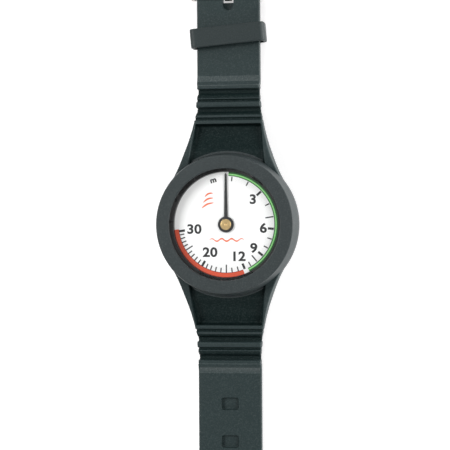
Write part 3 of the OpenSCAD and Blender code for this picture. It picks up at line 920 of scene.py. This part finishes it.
@dataclass
class Strap:
    """Both sides of the rubber strap, each skin spanning one flex line."""

    shape: StrapShape = field(default_factory=StrapShape)
    bend_reach: float = 1.1 * MM
    buckle_at: float = joint("frame_hinge")["pos_m"][1]
    tail_end: float = -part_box("tail_strap_tip")[0].y
    slot_first: float = 72.3 * MM
    slot_pitch: float = 15.2 * MM
    slot_half: Point2 = (3.4 * MM, 2.4 * MM)
    slot_floor: float = 3.2 * MM
    # Bands on the flat, in mm past the second flex line, painted lighter as a painted highlight of
    # the bend's reflection.
    scuffs: Sequence[Point2] = ((4.0, 6.2), (2.2, 2.7))
    fork_gap: float = 2.2 * MM
    fork_end: float = 3.4 * MM

    def build(self) -> None:
        """Makes every skin, and hides the CAD nodes that it stands for."""
        shape = self.shape
        rib_seam = (shape.flex_1 + shape.flex_2) / 2 + 0.05 * MM
        tail_flex = -joint("tail_flex_3")["pos_m"][1]
        tail_seam = self.slot_first + self.slot_pitch / 2
        self.skin_piece("shoulder_and_ribs_buckle_side", shape.inner_end, rib_seam, 1,
                        shape.flex_1, (), self.hollow)
        self.skin_piece("shoulder_and_ribs_tail_side", shape.inner_end, rib_seam, -1,
                        shape.flex_1, ("tail_strap_ribs",), self.hollow)
        buckle = self.skin_piece("strap_buckle_side", rib_seam, self.buckle_at, 1,
                                 shape.flex_2,
                                 ("buckle_strap_ribs", "buckle_strap"), self.fork)
        log.info("%s ends in a barrel", buckle.name)
        self.skin_piece("strap_tail_side", rib_seam, tail_seam, -1,
                        shape.flex_2, ("tail_strap",), self.pocket_row)
        self.skin_piece("strap_tail_end", tail_seam, self.tail_end, -1,
                        tail_flex, ("tail_strap_tip",), self.pocket_row)

    def skin_piece(self, name: str, start: float, end: float, side: int,
                   flex: float, nodes: Sequence[str],
                   shaping: Callable[[bpy.types.Object, float, float], None] | None = None
                   ) -> bpy.types.Object:
        """Makes one length of strap.

        Args:
            name: the piece's name.
            start: distance where it starts.
            end: distance where it ends.
            side: 1 towards the buckle and -1 towards the tail.
            flex: distance of the flex line between them; not used.
            nodes: CAD nodes that it stands for.
            shaping: what is cut from it or added to it.

        Returns:
            The piece.
        """
        mesh = bmesh.new()
        rings = self.shape.rings(start, end, side)
        if end >= self.tail_end - 1e-6:
            rings = self.round_tip(rings)
        skin(mesh, rings)
        piece = finished(name, mesh, Finish.STRAP, "", 50.0)
        self.darken_hollows(piece)
        if shaping:
            shaping(piece, start, end)
        at, reach = side * flex, side * self.bend_reach
        at - reach
        at + reach
        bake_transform(piece)
        if nodes:
            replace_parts(piece, *nodes)
        return piece

    def darken_hollows(self, piece: bpy.types.Object) -> None:
        """Paints shade on the sunk panel and grooves, and a painted highlight on the flat's start.

        Args:
            piece: a length of strap.
        """
        shape = self.shape
        piece.data.materials.append(Finish.HOLLOW.material())
        piece.data.materials.append(Finish.SCUFFED.material())
        for face in piece.data.polygons:
            distance, height = abs(face.center.y), face.center.z
            past = (distance - shape.flex_2) / MM  # millimetres past the second flex line
            on_top = face.normal.z > 0.2 and abs(face.center.x) < shape.half_width - 0.4 * MM
            # Painted highlight on the flat's start.
            if on_top and any(low < past < high for low, high in self.scuffs):
                face.material_index = 2
            if face.normal.z < 0.2 or past > 1.3:
                continue
            # Painted shade: the sunk panel and the grooves get the darker rubber.
            if distance < shape.panel_end:
                sunk = abs(face.center.x) < shape.panel_half(distance) - 0.1 * MM
            else:
                sunk = height < shape.crest - 0.7 * MM
            if sunk:
                face.material_index = 1

    def round_tip(self, rings: list[list[Vector]]) -> list[list[Vector]]:
        """Draws the tail's last rings in to a half-round end.

        Args:
            rings: the tail's rings, at full width to its end.

        Returns:
            The rings as far as the round end, and those of the end.
        """
        radius = self.shape.half_width
        middle = self.tail_end - radius
        straight = [ring for ring in rings if abs(ring[0].y) < middle - 0.2 * MM]
        pattern = straight[-1]
        for step in range(25):
            angle = math.radians(90 * step / 24)
            narrow = max(math.cos(angle), 0.02)
            place = middle + radius * math.sin(angle)
            low = max(0.0, (step - 21) / 3) * 0.35 * MM
            centre = (self.shape.under + self.shape.top) / 2
            squeeze = 1 - low / ((self.shape.top - self.shape.under) / 2)
            straight.append([Vector((p.x * narrow, -place, centre + (p.z - centre) * squeeze))
                             for p in pattern])
        return straight

    def hollow(self, piece: bpy.types.Object, start: float, end: float) -> None:
        """Clears the capsule's cavity out of a shoulder.

        Args:
            piece: the shoulder.
            start: where it starts; the cavity is the same for any.
            end: where it ends; the cavity is the same for any.
        """
        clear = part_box("lens_ring")[1].x + 0.3 * MM
        low, high = -1 * MM, 30 * MM
        cut(piece, turned([(0, low, 0), (clear, low, 0), (clear, high, 0), (0, high, 0)], 128))

    def barrel(self) -> bmesh.types.BMesh:
        """The rounded roll of rubber that holds the buckle pin.

        Returns:
            Its mesh.
        """
        mesh = bmesh.new()
        centre = Vector((0, self.buckle_at, joint("frame_hinge")["pos_m"][2]))
        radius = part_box("buckle_strap")[1].y - self.buckle_at
        half = self.shape.half_width
        ends = [(-half, 0.86), (-half + 0.25 * MM, 0.97), (-half + 0.6 * MM, 1.0),
                (half - 0.6 * MM, 1.0), (half - 0.25 * MM, 0.97), (half, 0.86)]
        skin(mesh, [[Vector((x, centre.y + radius * fat * math.cos(a),
                             centre.z + radius * fat * math.sin(a)))
                     for a in [math.tau * k / 40 for k in range(40)]] for x, fat in ends])
        return mesh

    def fork(self, piece: bpy.types.Object, start: float, end: float) -> None:
        """Joins the barrel on, and cuts the slot that the tongue swings in.

        Args:
            piece: the strap's buckle side.
            start: where it starts; the slot is placed from the pin.
            end: where it ends; the slot is placed from the pin.
        """
        cut(piece, self.barrel(), "UNION")
        gap, middle = self.fork_gap, self.buckle_at - self.fork_end
        outline = [(gap, middle), (gap, self.buckle_at + 6 * MM), (-gap, self.buckle_at + 6 * MM),
                   *arc((0, middle), gap, 180, 360, 16)]
        blind_floor = self.shape.under + 0.6 * MM
        for plan, low in ((outline, blind_floor), (self.through_plan(gap), -2 * MM)):
            cutter = bmesh.new()
            prism(cutter, plan, low, 12 * MM)
            cut(piece, cutter)

    def through_plan(self, gap: float) -> list[Point2]:
        """Plan of the fork's open part, where the tongue's eye turns."""
        near, far = self.buckle_at - 2.4 * MM, self.buckle_at + 6 * MM
        return [(gap, near), (gap, far), (-gap, far), (-gap, near)]

    def pocket_row(self, piece: bpy.types.Object, start: float, end: float) -> None:
        """Sinks the pockets that lie on this length, each with a softened rim.

        Args:
            piece: a length of the tail.
            start: distance where it starts.
            end: distance where it ends.
        """
        place = self.slot_first
        cutter = bmesh.new()
        while place < self.tail_end - self.shape.half_width:
            if start < place < end:
                low, top = self.slot_floor, self.shape.top
                levels = [(low, -0.25), (low + 0.25 * MM, 0.0), (top - 0.3 * MM, 0.05),
                          (top - 0.1 * MM, 0.12), (top + 0.02 * MM, 0.32), (top + 1 * MM, 0.32)]
                skin(cutter, [[Vector((x, y - place, z)) for x, y in self.slot_plan(grow * MM)]
                              for z, grow in levels])
            place += self.slot_pitch
        cut(piece, cutter)

    def slot_plan(self, grow: float) -> list[Point2]:
        """Plan of a pocket, grown all round.

        Args:
            grow: how far its sides move out.

        Returns:
            The (x, y) outline about its middle.
        """
        wide, long = self.slot_half[0] + grow, self.slot_half[1] + grow
        corner = 1.0 * MM + grow
        return rounded([(-wide, -long, corner), (wide, -long, corner), (wide, long, corner),
                        (-wide, long, corner)])


@dataclass
class Boot:
    """The rubber boot's round body: bezel lip, flank, back and the foot on the shoulders."""

    outer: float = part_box("boot")[1].x
    height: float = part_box("boot")[1].z
    cavity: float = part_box("lens_ring")[1].x + 0.1 * MM
    floor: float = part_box("back_cover")[0].z - 0.1 * MM
    lip_under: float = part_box("lens_ring")[1].z
    lip_r: float = 22.2 * MM
    taper: float = 1.5 * MM
    water_hole_r: float = 1.5 * MM
    water_circle: float = 9 * MM
    water_holes: int = 6
    foot_reach: float = 32.0

    def build(self) -> None:
        """Makes the body and the foot rims."""
        outer, top = self.outer, self.height
        outline = rounded([
            (0, 0, 0), (outer - 3.2 * MM, 0, 0.8 * MM), (outer - 2.2 * MM, 0.5 * MM, 0.8 * MM),
            (outer - 0.5 * MM, 3.5 * MM, 2 * MM), (outer, top * 0.53, 3 * MM),
            (outer - self.taper, top, 0.4 * MM), (self.lip_r, top, 0.5 * MM),
            (self.lip_r, self.lip_under, 0.15 * MM), (self.cavity, self.lip_under, 0.2 * MM),
            (self.cavity, self.floor, 0.3 * MM), (0, self.floor, 0)], steps=8)
        mesh = bmesh.new()
        lathe(mesh, outline, 256)
        body = finished("boot_body", mesh, Finish.BOOT, "case", 50.0)
        holes = bmesh.new()
        for k in range(self.water_holes):
            turn = math.radians(360 * k / self.water_holes)
            x, y = self.water_circle * math.cos(turn), self.water_circle * math.sin(turn)
            skin(holes, [[Vector((x + r * math.cos(a), y + r * math.sin(a), z))
                          for a in [math.tau * i / 32 for i in range(32)]]
                         for z, r in ((-1 * MM, self.water_hole_r + 0.3 * MM),
                                      (0.0, self.water_hole_r + 0.3 * MM),
                                      (0.3 * MM, self.water_hole_r),
                                      (self.floor + 1 * MM, self.water_hole_r))])
        cut(body, holes)
        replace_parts(body, "boot")
        for side, middle in (("buckle_side", 90.0), ("tail_side", 270.0)):
            foot = turned([(outer - 3 * MM, 4 * MM, 0), (outer + 0.5 * MM, 4 * MM, 0),
                           (outer + 0.6 * MM, top * 0.5, 0.35 * MM),
                           (outer - 3 * MM, top * 0.5, 0)], 60, middle - self.foot_reach,
                          2 * self.foot_reach)
            finished("boot_foot_" + side, foot, Finish.BOOT, "case", 50.0)


# ---------------------------------------------------------------- dial, pointer and glazing

@dataclass
class Scale:
    """Where each depth lies on the dial, as an angle clockwise from the buckle side."""

    anchors: Sequence[Point2] = ((0, 0.0), (2, 28.0), (6, 95.5), (9, 130.3), (12, 157.3),
                                 (15, 180.0), (20, 210.7), (30, 262.2))
    first_metre: float = 7.4

    def angle(self, depth: float) -> float:
        """The angle of a depth, from a parabola through the anchors around it.

        Args:
            depth: metres of water.

        Returns:
            Degrees clockwise from straight up.
        """
        if depth == 1:
            return self.first_metre
        last = len(self.anchors) - 1
        near = next(i for i in range(last) if depth <= self.anchors[i + 1][0])
        first = min(max(near - (near > 2), 0), last - 2)
        chosen = self.anchors[first:first + 3]
        total = 0.0
        for i, (x, y) in enumerate(chosen):
            term = y
            for k, (other, _) in enumerate(chosen):
                if k != i:
                    term *= (depth - other) / (x - other)
            total += term
        return total


@dataclass
class Dial:
    """The white dial plate with its printed scale."""

    scale: Scale = field(default_factory=Scale)
    low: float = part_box("dial_plate")[0].z
    top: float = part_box("dial_plate")[1].z
    plate_r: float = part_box("dial_plate")[1].x
    bore_r: float = 1.2 * MM
    ink: float = 0.03 * MM
    figure_share: float = 0.72
    figure_gap: float = 1.04
    figure_stretch: float = 1.13
    numerals: Sequence[tuple[int, float]] = ((3, 14.7), (6, 15.0), (9, 14.5), (12, 13.7),
                                             (20, 12.8), (30, 12.95))

    def build(self) -> None:
        """Makes the plate and everything printed on it."""
        mesh = turned([(self.bore_r, self.low, 0), (self.plate_r, self.low, 0),
                       (self.plate_r, self.top, 0.05 * MM), (self.bore_r, self.top, 0.05 * MM)])
        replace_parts(finished("dial_disc", mesh, Finish.DIAL, "case"), "dial_plate")
        green, red = (3.0, 153.5), (159.5, 264.5)
        self.band("scale_band_green", *green, 19.72, 20.3, Finish.GREEN_INK)
        self.band("scale_band_green_edge", *green, 19.35, 19.72, Finish.GREEN_EDGE)
        # The outer green rim is painted shadow of the lip beside the wall.
        self.band("scale_band_green_rim", *green, 20.3, 20.95, Finish.GREEN_EDGE)
        self.band("scale_band_red", *red, 19.35, 20.95, Finish.RED_INK)
        self.band("scale_band_red_edge", *red, 19.15, 19.35, Finish.RED_EDGE)
        self.ticks()
        for depth, radius in self.numerals:
            self.numeral(depth, radius * MM)
        self.unit_mark()
        self.waves()

    def at(self, angle: float, radius: float) -> Vector:
        """A point on the dial, from an angle clockwise from straight up."""
        turn = math.radians(90 - angle)
        return Vector((radius * math.cos(turn), radius * math.sin(turn), 0))

    def band(self, name: str, first: float, last: float, inner: float, outer: float,
             finish: Finish) -> None:
        """Prints an arc.

        Args:
            name: the piece's name.
            first: angle where it starts, clockwise from straight up.
            last: angle where it ends.
            inner: inner radius in millimetres.
            outer: outer radius in millimetres.
            finish: its ink.
        """
        mesh = bmesh.new()
        outline = [(inner * MM, self.top), (outer * MM, self.top),
                   (outer * MM, self.top + self.ink), (inner * MM, self.top + self.ink)]
        lathe(mesh, outline, int(last - first), 90 - last, last - first)
        finished(name, mesh, finish, "case")

    def ticks(self) -> None:
        """Prints a stroke for each metre, heavier at the numbered ones."""
        mesh = bmesh.new()
        numbered = [depth for depth, _ in self.numerals]
        for depth in range(1, 31):
            inner, outer, wide = 17.35 * MM, 19.2 * MM, 0.48 * MM
            if depth in numbered:
                inner, wide = 16.85 * MM, 0.92 * MM
            elif depth % 5 == 0:
                inner, wide = 16.0 * MM, 0.5 * MM
            angle = self.scale.angle(depth)
            turn = Matrix.Rotation(math.radians(-angle), 4, "Z")
            plan = [(-wide / 2, inner), (wide / 2, inner), (wide / 2, outer), (-wide / 2, outer)]
            rings = [[turn @ Vector((x, y, z)) for x, y in plan]
                     for z in (self.top, self.top + self.ink)]
            skin(mesh, rings)
        finished("scale_strokes", mesh, Finish.BLACK_INK, "case")

    def lettering(self, name: str, words: str, size: float, place: Vector, weight: float,
                  finish: Finish, turn: float = 0.0) -> None:
        """Prints a numeral or unit mark as a thin raised shape.

        Args:
            name: the piece's name.
            words: what it says.
            size: height of a figure.
            place: its middle.
            weight: how far the strokes are thickened.
            finish: its ink.
            turn: degrees that it is turned clockwise.
        """
        curve = bpy.data.curves.new(name, "FONT")
        curve.body = words
        curve.size = size / self.figure_share
        curve.offset = weight
        curve.space_character = self.figure_gap
        curve.extrude = self.ink / 2
        curve.resolution_u = 6
        text = bpy.data.objects.new(name, curve)
        bpy.context.scene.collection.objects.link(text)
        bpy.context.view_layer.update()
        graph = bpy.context.evaluated_depsgraph_get()
        data = bpy.data.meshes.new_from_object(text.evaluated_get(graph))
        bpy.data.objects.remove(text)
        mesh = bmesh.new()
        mesh.from_mesh(data)
        bpy.data.meshes.remove(data)
        xs, ys = [v.co.x for v in mesh.verts], [v.co.y for v in mesh.verts]
        middle = Vector(((min(xs) + max(xs)) / 2, (min(ys) + max(ys)) / 2, 0))
        lift = Vector((place.x, place.y, self.top + self.ink / 2))
        spin = (Matrix.Rotation(math.radians(-turn), 4, "Z")
                @ Matrix.Scale(self.figure_stretch, 4, (1, 0, 0)))
        for vertex in mesh.verts:
            vertex.co = spin @ (vertex.co - middle) + lift
        finished(name, mesh, finish, "case")

    def numeral(self, depth: int, radius: float) -> None:
        """Prints one of the scale's numbers upright."""
        self.lettering(f"numeral_{depth}", str(depth), 3.7 * MM,
                       self.at(self.scale.angle(depth), radius), 0.17 * MM, Finish.BLACK_INK)

    def unit_mark(self) -> None:
        """Prints the m for metres among the strokes, left of nought."""
        self.lettering("unit_mark", "m", 2.1 * MM, self.at(-16.2, 18.2 * MM), 0.14 * MM,
                       Finish.BLACK_INK, -16)

    def waves(self) -> None:
        """Prints plain wavy lines: three short ones upper left, and a long one under the hub."""
        mesh = bmesh.new()
        # Each is a middle's x and y, half the length, how many waves, their height and a tilt.
        rows = [((-7.4 + 0.25 * row) * MM, (7.6 + 2.1 * row) * MM, (2.7 - 0.45 * row) * MM, 0.5,
                 0.55 * MM, 24.0) for row in range(3)]
        rows.append((0.2 * MM, -6.15 * MM, 7.0 * MM, 3.5, 0.5 * MM, 0.0))
        for x, y, half, periods, height, tilt in rows:
            upper, lower = [], []
            steps = int(24 * max(1.0, periods))
            spin = Matrix.Rotation(math.radians(tilt), 2)
            for i in range(steps + 1):
                t = 2 * i / steps - 1
                swell = height * math.sin(math.pi * periods * 2 * (t + 1) / 2)
                fat = 0.34 * MM * (1 - 0.75 * abs(t) ** 3)
                for line, sign in ((upper, 1), (lower, -1)):
                    point = spin @ Vector((half * t, swell + sign * fat))
                    line.append((x + point.x, y + point.y))
            outline = lower + upper[::-1]
            prism(mesh, outline, self.top, self.top + self.ink)
        finished("wave_marks", mesh, Finish.ORANGE_INK, "case")


@dataclass
class Pointer:
    """The black pointer with its round hub and turned brass boss."""

    low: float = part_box("pointer")[0].z
    top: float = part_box("pointer")[1].z
    tip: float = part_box("pointer")[1].y
    boss_top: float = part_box("pointer_boss")[1].z
    hub_r: float = 3.2 * MM
    boss_r: float = 2.2 * MM
    bore_r: float = 0.55 * MM

    def build(self) -> None:
        """Makes the hand, its hub and its boss."""
        mesh = bmesh.new()
        root, end = 0.82 * MM, 0.42 * MM
        plan = [(-root, 0), (root, 0), (end, self.tip - 0.7 * MM), (0.12 * MM, self.tip),
                (-0.12 * MM, self.tip), (-end, self.tip - 0.7 * MM)]
        plate(mesh, plan, self.low + 0.05 * MM, self.top - 0.03 * MM, 0.08 * MM)
        hand = finished("pointer_hand", mesh, Finish.POINTER, "pointer")
        mesh = turned([(self.bore_r, self.low, 0), (self.hub_r, self.low, 0.06 * MM),
                       (self.hub_r, self.top, 0.12 * MM), (self.boss_r, self.top, 0),
                       (self.bore_r, self.top, 0)], 96)
        finished("pointer_hub", mesh, Finish.POINTER, "pointer")
        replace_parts(hand, "pointer")
        base, height = self.top, self.boss_top - self.top
        dimple = base + height * 0.75
        mesh = turned([(0, base, 0), (self.boss_r, base, 0),
                       (self.boss_r, base + height * 0.7, 0.12 * MM),
                       (1.9 * MM, base + height, 0.12 * MM), (0.6 * MM, base + height, 0.05 * MM),
                       (0.35 * MM, dimple, 0.1 * MM), (0, dimple, 0)], 96)
        boss = finished("pointer_boss_turned", mesh, Finish.BOSS, "pointer")
        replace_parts(boss, "pointer_boss")


@dataclass
class Glazing:
    """The lens, the gasket under it and the dark wall round the dial."""

    lens_low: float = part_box("lens")[0].z
    lens_top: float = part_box("lens")[1].z
    lens_r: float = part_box("lens")[1].x
    wall_low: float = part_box("dial_surround")[0].z
    wall_top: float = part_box("dial_surround")[1].z
    wall_r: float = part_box("dial_surround")[1].x
    seen_r: float = 20.9 * MM

    def build(self) -> None:
        """Makes the lens and the wall, and dresses the pieces beside them."""
        mesh = turned([(0, self.lens_low, 0), (self.lens_r, self.lens_low, 0.1 * MM),
                       (self.lens_r, self.lens_top - 0.5 * MM, 0.1 * MM),
                       (self.lens_r - 0.6 * MM, self.lens_top, 0.2 * MM), (0, self.lens_top, 0)])
        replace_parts(finished("clear_lens", mesh, Finish.LENS, "case"), "lens")
        mesh = turned([(self.seen_r, self.wall_low, 0.05 * MM), (self.wall_r, self.wall_low, 0),
                       (self.wall_r, self.wall_top, 0.1 * MM),
                       (self.seen_r + 0.15 * MM, self.wall_top, 0.1 * MM)])
        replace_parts(finished("dial_wall", mesh, Finish.GLOSS, "case"), "dial_surround")
        dress(Finish.SEAL, "lens_gasket", "diaphragm")
        dress(Finish.PLASTIC, "lens_ring", "capsule_cup", "back_cover")


# ---------------------------------------------------------------- keeper and buckle

def sweep(mesh: bmesh.types.BMesh, path: Sequence[Vector], section: Sequence[Point2],
          along: Vector) -> None:
    """Sweeps a section round a closed flat path.

    Args:
        mesh: where the faces go.
        path: the path's points, in one plane.
        section: (outwards, along) points of the section.
        along: direction square to the path's plane.
    """
    centre = sum(path, Vector()) / len(path)
    rings = []
    for i, here in enumerate(path):
        run = (path[(i + 1) % len(path)] - path[i - 1]).normalized()
        out = run.cross(along).normalized()
        if out.dot(here - centre) < 0:
            out = -out
        rings.append([here + out * o + along * a for o, a in section])
    skin(mesh, rings, loop=True)


@dataclass
class Keeper:
    """The loose rubber loop that holds the tail down."""

    box_low: Vector = field(default_factory=lambda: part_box("strap_keeper")[0])
    box_high: Vector = field(default_factory=lambda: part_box("strap_keeper")[1])
    half_length: float = 3.85 * MM
    wall: float = 1.3 * MM
    half_width: float = 15.2 * MM
    skew: float = 5.0

    def build(self) -> None:
        """Makes the loop."""
        centre = (self.box_low + self.box_high) / 2
        half_height = (self.box_high.z - self.box_low.z) / 2
        wide, tall = self.half_width - self.wall / 2, half_height - self.wall / 2
        outline = rounded([(-wide, -tall, 1.6 * MM), (wide, -tall, 1.6 * MM),
                           (wide, tall, 1.6 * MM), (-wide, tall, 1.6 * MM)], steps=8)
        path = [Vector((x, 0, z)) for x, z in outline]
        half, long = self.wall / 2, self.half_length
        section = rounded([(-half, -long, 0.25 * MM), (half, -long, 0.5 * MM),
                           (half, long, 0.5 * MM), (-half, long, 0.25 * MM)], steps=5)
        mesh = bmesh.new()
        sweep(mesh, path, section, Vector((0, 1, 0)))
        spin = Matrix.Translation(centre) @ Matrix.Rotation(math.radians(self.skew), 4, "Z")
        bmesh.ops.transform(mesh, matrix=spin, verts=mesh.verts)
        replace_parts(finished("keeper_loop", mesh, Finish.KEEPER, "keeper", 50.0), "strap_keeper")


@dataclass
class Buckle:
    """The steel buckle: frame, tongue and pin."""

    pin: Vector = field(default_factory=lambda: Vector(joint("frame_hinge")["pos_m"]))
    bar: float = 1.2 * MM
    length: float = 16 * MM
    half_width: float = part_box("buckle_frame")[1].x
    ear_w: float = 2.0 * MM
    ear_r: float = 1.6 * MM
    pin_r: float = 0.9 * MM
    tongue_w: float = 3.0 * MM

    def rod(self, mesh: bmesh.types.BMesh, start: float, end: float, radius: float,
            centre: Vector, bore: float = 0.0, edge: float = 0.15 * MM) -> None:
        """Turns a short bar or tube about a line along X.

        Args:
            mesh: where the faces go.
            start: its first end's X.
            end: its other end's X.
            radius: its outside radius.
            centre: a point on its axis.
            bore: its inside radius.
            edge: how much its ends are rounded.
        """
        outline = rounded([(bore, start, 0), (radius, start, edge), (radius, end, edge),
                           (bore, end, 0)])
        rings = []
        for k in range(48):
            a = math.tau * k / 48
            rings.append([Vector((x, centre.y + r * math.cos(a), centre.z + r * math.sin(a)))
                          for r, x in outline])
        skin(mesh, rings, loop=True)

    def build(self) -> None:
        """Makes the three pieces."""
        self.build_frame()
        self.build_tongue()
        mesh = bmesh.new()
        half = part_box("buckle_pin")[1].x
        self.rod(mesh, -half, half, self.pin_r, self.pin)
        pin = finished("buckle_pin_turned", mesh, Finish.STEEL, "buckle_side")
        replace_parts(pin, "buckle_pin")

    def build_frame(self) -> None:
        """Makes the frame: two eared side bars and a round end bar with a tongue rest."""
        mesh = bmesh.new()
        outer = self.half_width
        for side in (-1, 1):
            x0, x1 = sorted((side * outer, side * (outer - self.ear_w)))
            self.rod(mesh, x0, x1, self.ear_r, self.pin, self.pin_r + 0.04 * MM, 0.3 * MM)
            section = rounded([(x0, -self.bar, 0.5 * MM), (x1, -self.bar, 0.5 * MM),
                               (x1, self.bar, 0.5 * MM), (x0, self.bar, 0.5 * MM)])
            places = [1.3 * MM + (self.length - 1.3 * MM) * i / 16 for i in range(17)]
            rings = [[Vector((x, self.pin.y + y, self.pin.z + z)) for x, z in section]
                     for y in places]
            skin(mesh, rings)
        end = self.pin + Vector((0, self.length, 0))
        outline = []
        for i in range(41):
            x = -outer + 2 * outer * i / 40
            notch = 0.14 * MM * math.exp(-((x / (1.9 * MM)) ** 6))
            tip = min(1.0, 0.72 + (outer - abs(x)) / (1.2 * MM))
            outline.append((x, (self.bar - notch) * tip))
        rings = [[Vector((x, end.y + r * math.cos(a), end.z + r * math.sin(a)))
                  for a in [math.tau * k / 40 for k in range(40)]] for x, r in outline]
        skin(mesh, rings)
        frame_piece = finished("buckle_frame_bar", mesh, Finish.BUCKLE, "frame", 50.0)
        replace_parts(frame_piece, "buckle_frame")

    def build_tongue(self) -> None:
        """Makes the tongue: a rolled eye and a tapering shank that lies on the end bar."""
        mesh = bmesh.new()
        half = self.tongue_w / 2
        self.rod(mesh, -half, half, self.pin_r + 0.9 * MM, self.pin, self.pin_r + 0.04 * MM,
                 0.2 * MM)
        rest = self.bar + 0.3 * MM
        # Each is a distance from the pin, a height, and half the width and thickness there, in mm.
        line = [(0.3, 1.2, 1.5, 0.55), (2, 1.45, 1.5, 0.62), (5, 1.75, 1.45, 0.7),
                (9, 2.1, 1.35, 0.75), (12, 2.3, 1.25, 0.75), (15, 2.28, 1.15, 0.72),
                (16.6, 2.1, 1.0, 0.6), (17.3, 2.0, 0.75, 0.45), (17.55, 1.95, 0.4, 0.2)]
        rings = []
        for y, z, wide, thick in line:
            middle = max(z * MM, rest + thick * MM if y > 11 else 0.0)
            section = rounded([(-wide, -thick, 0.35), (wide, -thick, 0.35), (wide, thick, 0.35),
                               (-wide, thick, 0.35)])
            rings.append([Vector((x * MM, self.pin.y + y * MM, self.pin.z + middle + h * MM))
                          for x, h in section])
        skin(mesh, rings)
        tongue = finished("buckle_tongue_shank", mesh, Finish.BUCKLE, "tongue", 50.0)
        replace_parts(tongue, "buckle_tongue")


# ---------------------------------------------------------------- inside, stage and main

class Movement:
    """The pieces inside the capsule, which keep their CAD shapes."""

    FINISHES = {
        Finish.BRASS: ("bottom_plate", "top_plate", "pillars", "tube_socket", "tube_tip",
                       "sector_gear", "hairspring_collet", "hairspring_stud", "oil_fill_plug"),
        Finish.BRONZE: ("pressure_tube", "arbor_bushes"),
        Finish.STEEL: ("base_screws", "pillar_screws", "socket_screws", "back_cover_screws",
                       "link_rod", "link_pin", "sector_arbor", "pinion", "pointer_arbor"),
        Finish.BLUED: ("hairspring",),
    }

    def build(self) -> None:
        """Dresses every node of the movement."""
        for finish, nodes in self.FINISHES.items():
            dress(finish, *nodes)


@dataclass
class Studio:
    """White board, soft lights and a long-lensed camera almost straight above."""

    tilt: float = math.radians(9.0)
    roll: float = math.radians(-0.3)
    away: float = 0.65
    seen: float = 180.1 * MM
    aim: Vector = field(default_factory=lambda: Vector((-0.95 * MM, -0.2 * MM, 9.5 * MM)))

    def build(self) -> None:
        """Makes the board, the lights and the camera."""
        mesh = bmesh.new()
        bmesh.ops.create_grid(mesh, x_segments=2, y_segments=2, size=2.0)
        data = bpy.data.meshes.new("board")
        mesh.to_mesh(data)
        mesh.free()
        board = bpy.data.objects.new("board", data)
        board.data.materials.append(PaleBoard().build())
        bpy.context.scene.collection.objects.link(board)
        self.light("window_left", (-0.75, 0.25, 0.85), 0.5, 9.0)
        self.light("window_right", (0.75, 0.15, 0.75), 0.5, 6.2)
        self.light("flank_right", (0.9, 0.1, 0.014), 0.3, 8.0, 0.024)
        self.light("near_fill", (0.0, -0.95, 0.65), 0.5, 3.2)
        self.light("far_fill", (0.0, 0.95, 0.65), 0.5, 2.2)
        world = bpy.data.worlds.new("studio")
        world.use_nodes = True
        world.node_tree.nodes["Background"].inputs["Color"].default_value = (1, 1, 1, 1)
        world.node_tree.nodes["Background"].inputs["Strength"].default_value = 0.25
        bpy.context.scene.world = world
        bpy.context.scene.view_settings.view_transform = "Standard"
        self.camera()

    def light(self, name: str, place: tuple[float, float, float], size: float,
              power: float, height: float = 0.0) -> None:
        """Hangs a soft light aimed at the gauge.

        Args:
            name: its name.
            place: where it hangs.
            size: length of its side.
            power: its power in watts.
            height: its other side's length, or nought where it is square.
        """
        lamp = bpy.data.lights.new(name, "AREA")
        lamp.shape = "RECTANGLE"
        lamp.size, lamp.size_y = size, height or size
        lamp.energy = power
        made = bpy.data.objects.new(name, lamp)
        made.location = place
        made.rotation_euler = (-Vector(place)).to_track_quat("-Z", "Y").to_euler()
        bpy.context.scene.collection.objects.link(made)

    def camera(self) -> None:
        """Sets the camera, tipped a little towards the dial's right."""
        lens = bpy.data.cameras.new("camera")
        lens.sensor_width = 36.0
        lens.lens = 36.0 * self.away / self.seen
        lens.clip_end = 10.0
        made = bpy.data.objects.new("camera", lens)
        offset = Vector((math.sin(self.tilt), 0, math.cos(self.tilt))) * self.away
        across = Vector((math.cos(self.tilt), 0, -math.sin(self.tilt)))
        up = Vector((0, 1, 0))
        turn = Matrix((across, up, offset.normalized())).transposed()
        turn = turn @ Matrix.Rotation(self.roll, 3, "Z")
        made.matrix_world = Matrix.Translation(self.aim + offset) @ turn.to_4x4()
        bpy.context.scene.collection.objects.link(made)
        bpy.context.scene.camera = made


def main() -> None:
    """Builds the gauge from the strap inwards, and reports each piece."""
    logging.basicConfig(level=logging.INFO, format="%(message)s")
    Studio().build()
    for assembly in (Strap(), Boot(), Dial(), Pointer(), Glazing(), Keeper(), Buckle(),
                     Movement()):
        assembly.build()


if __name__ == "__main__":
    main()
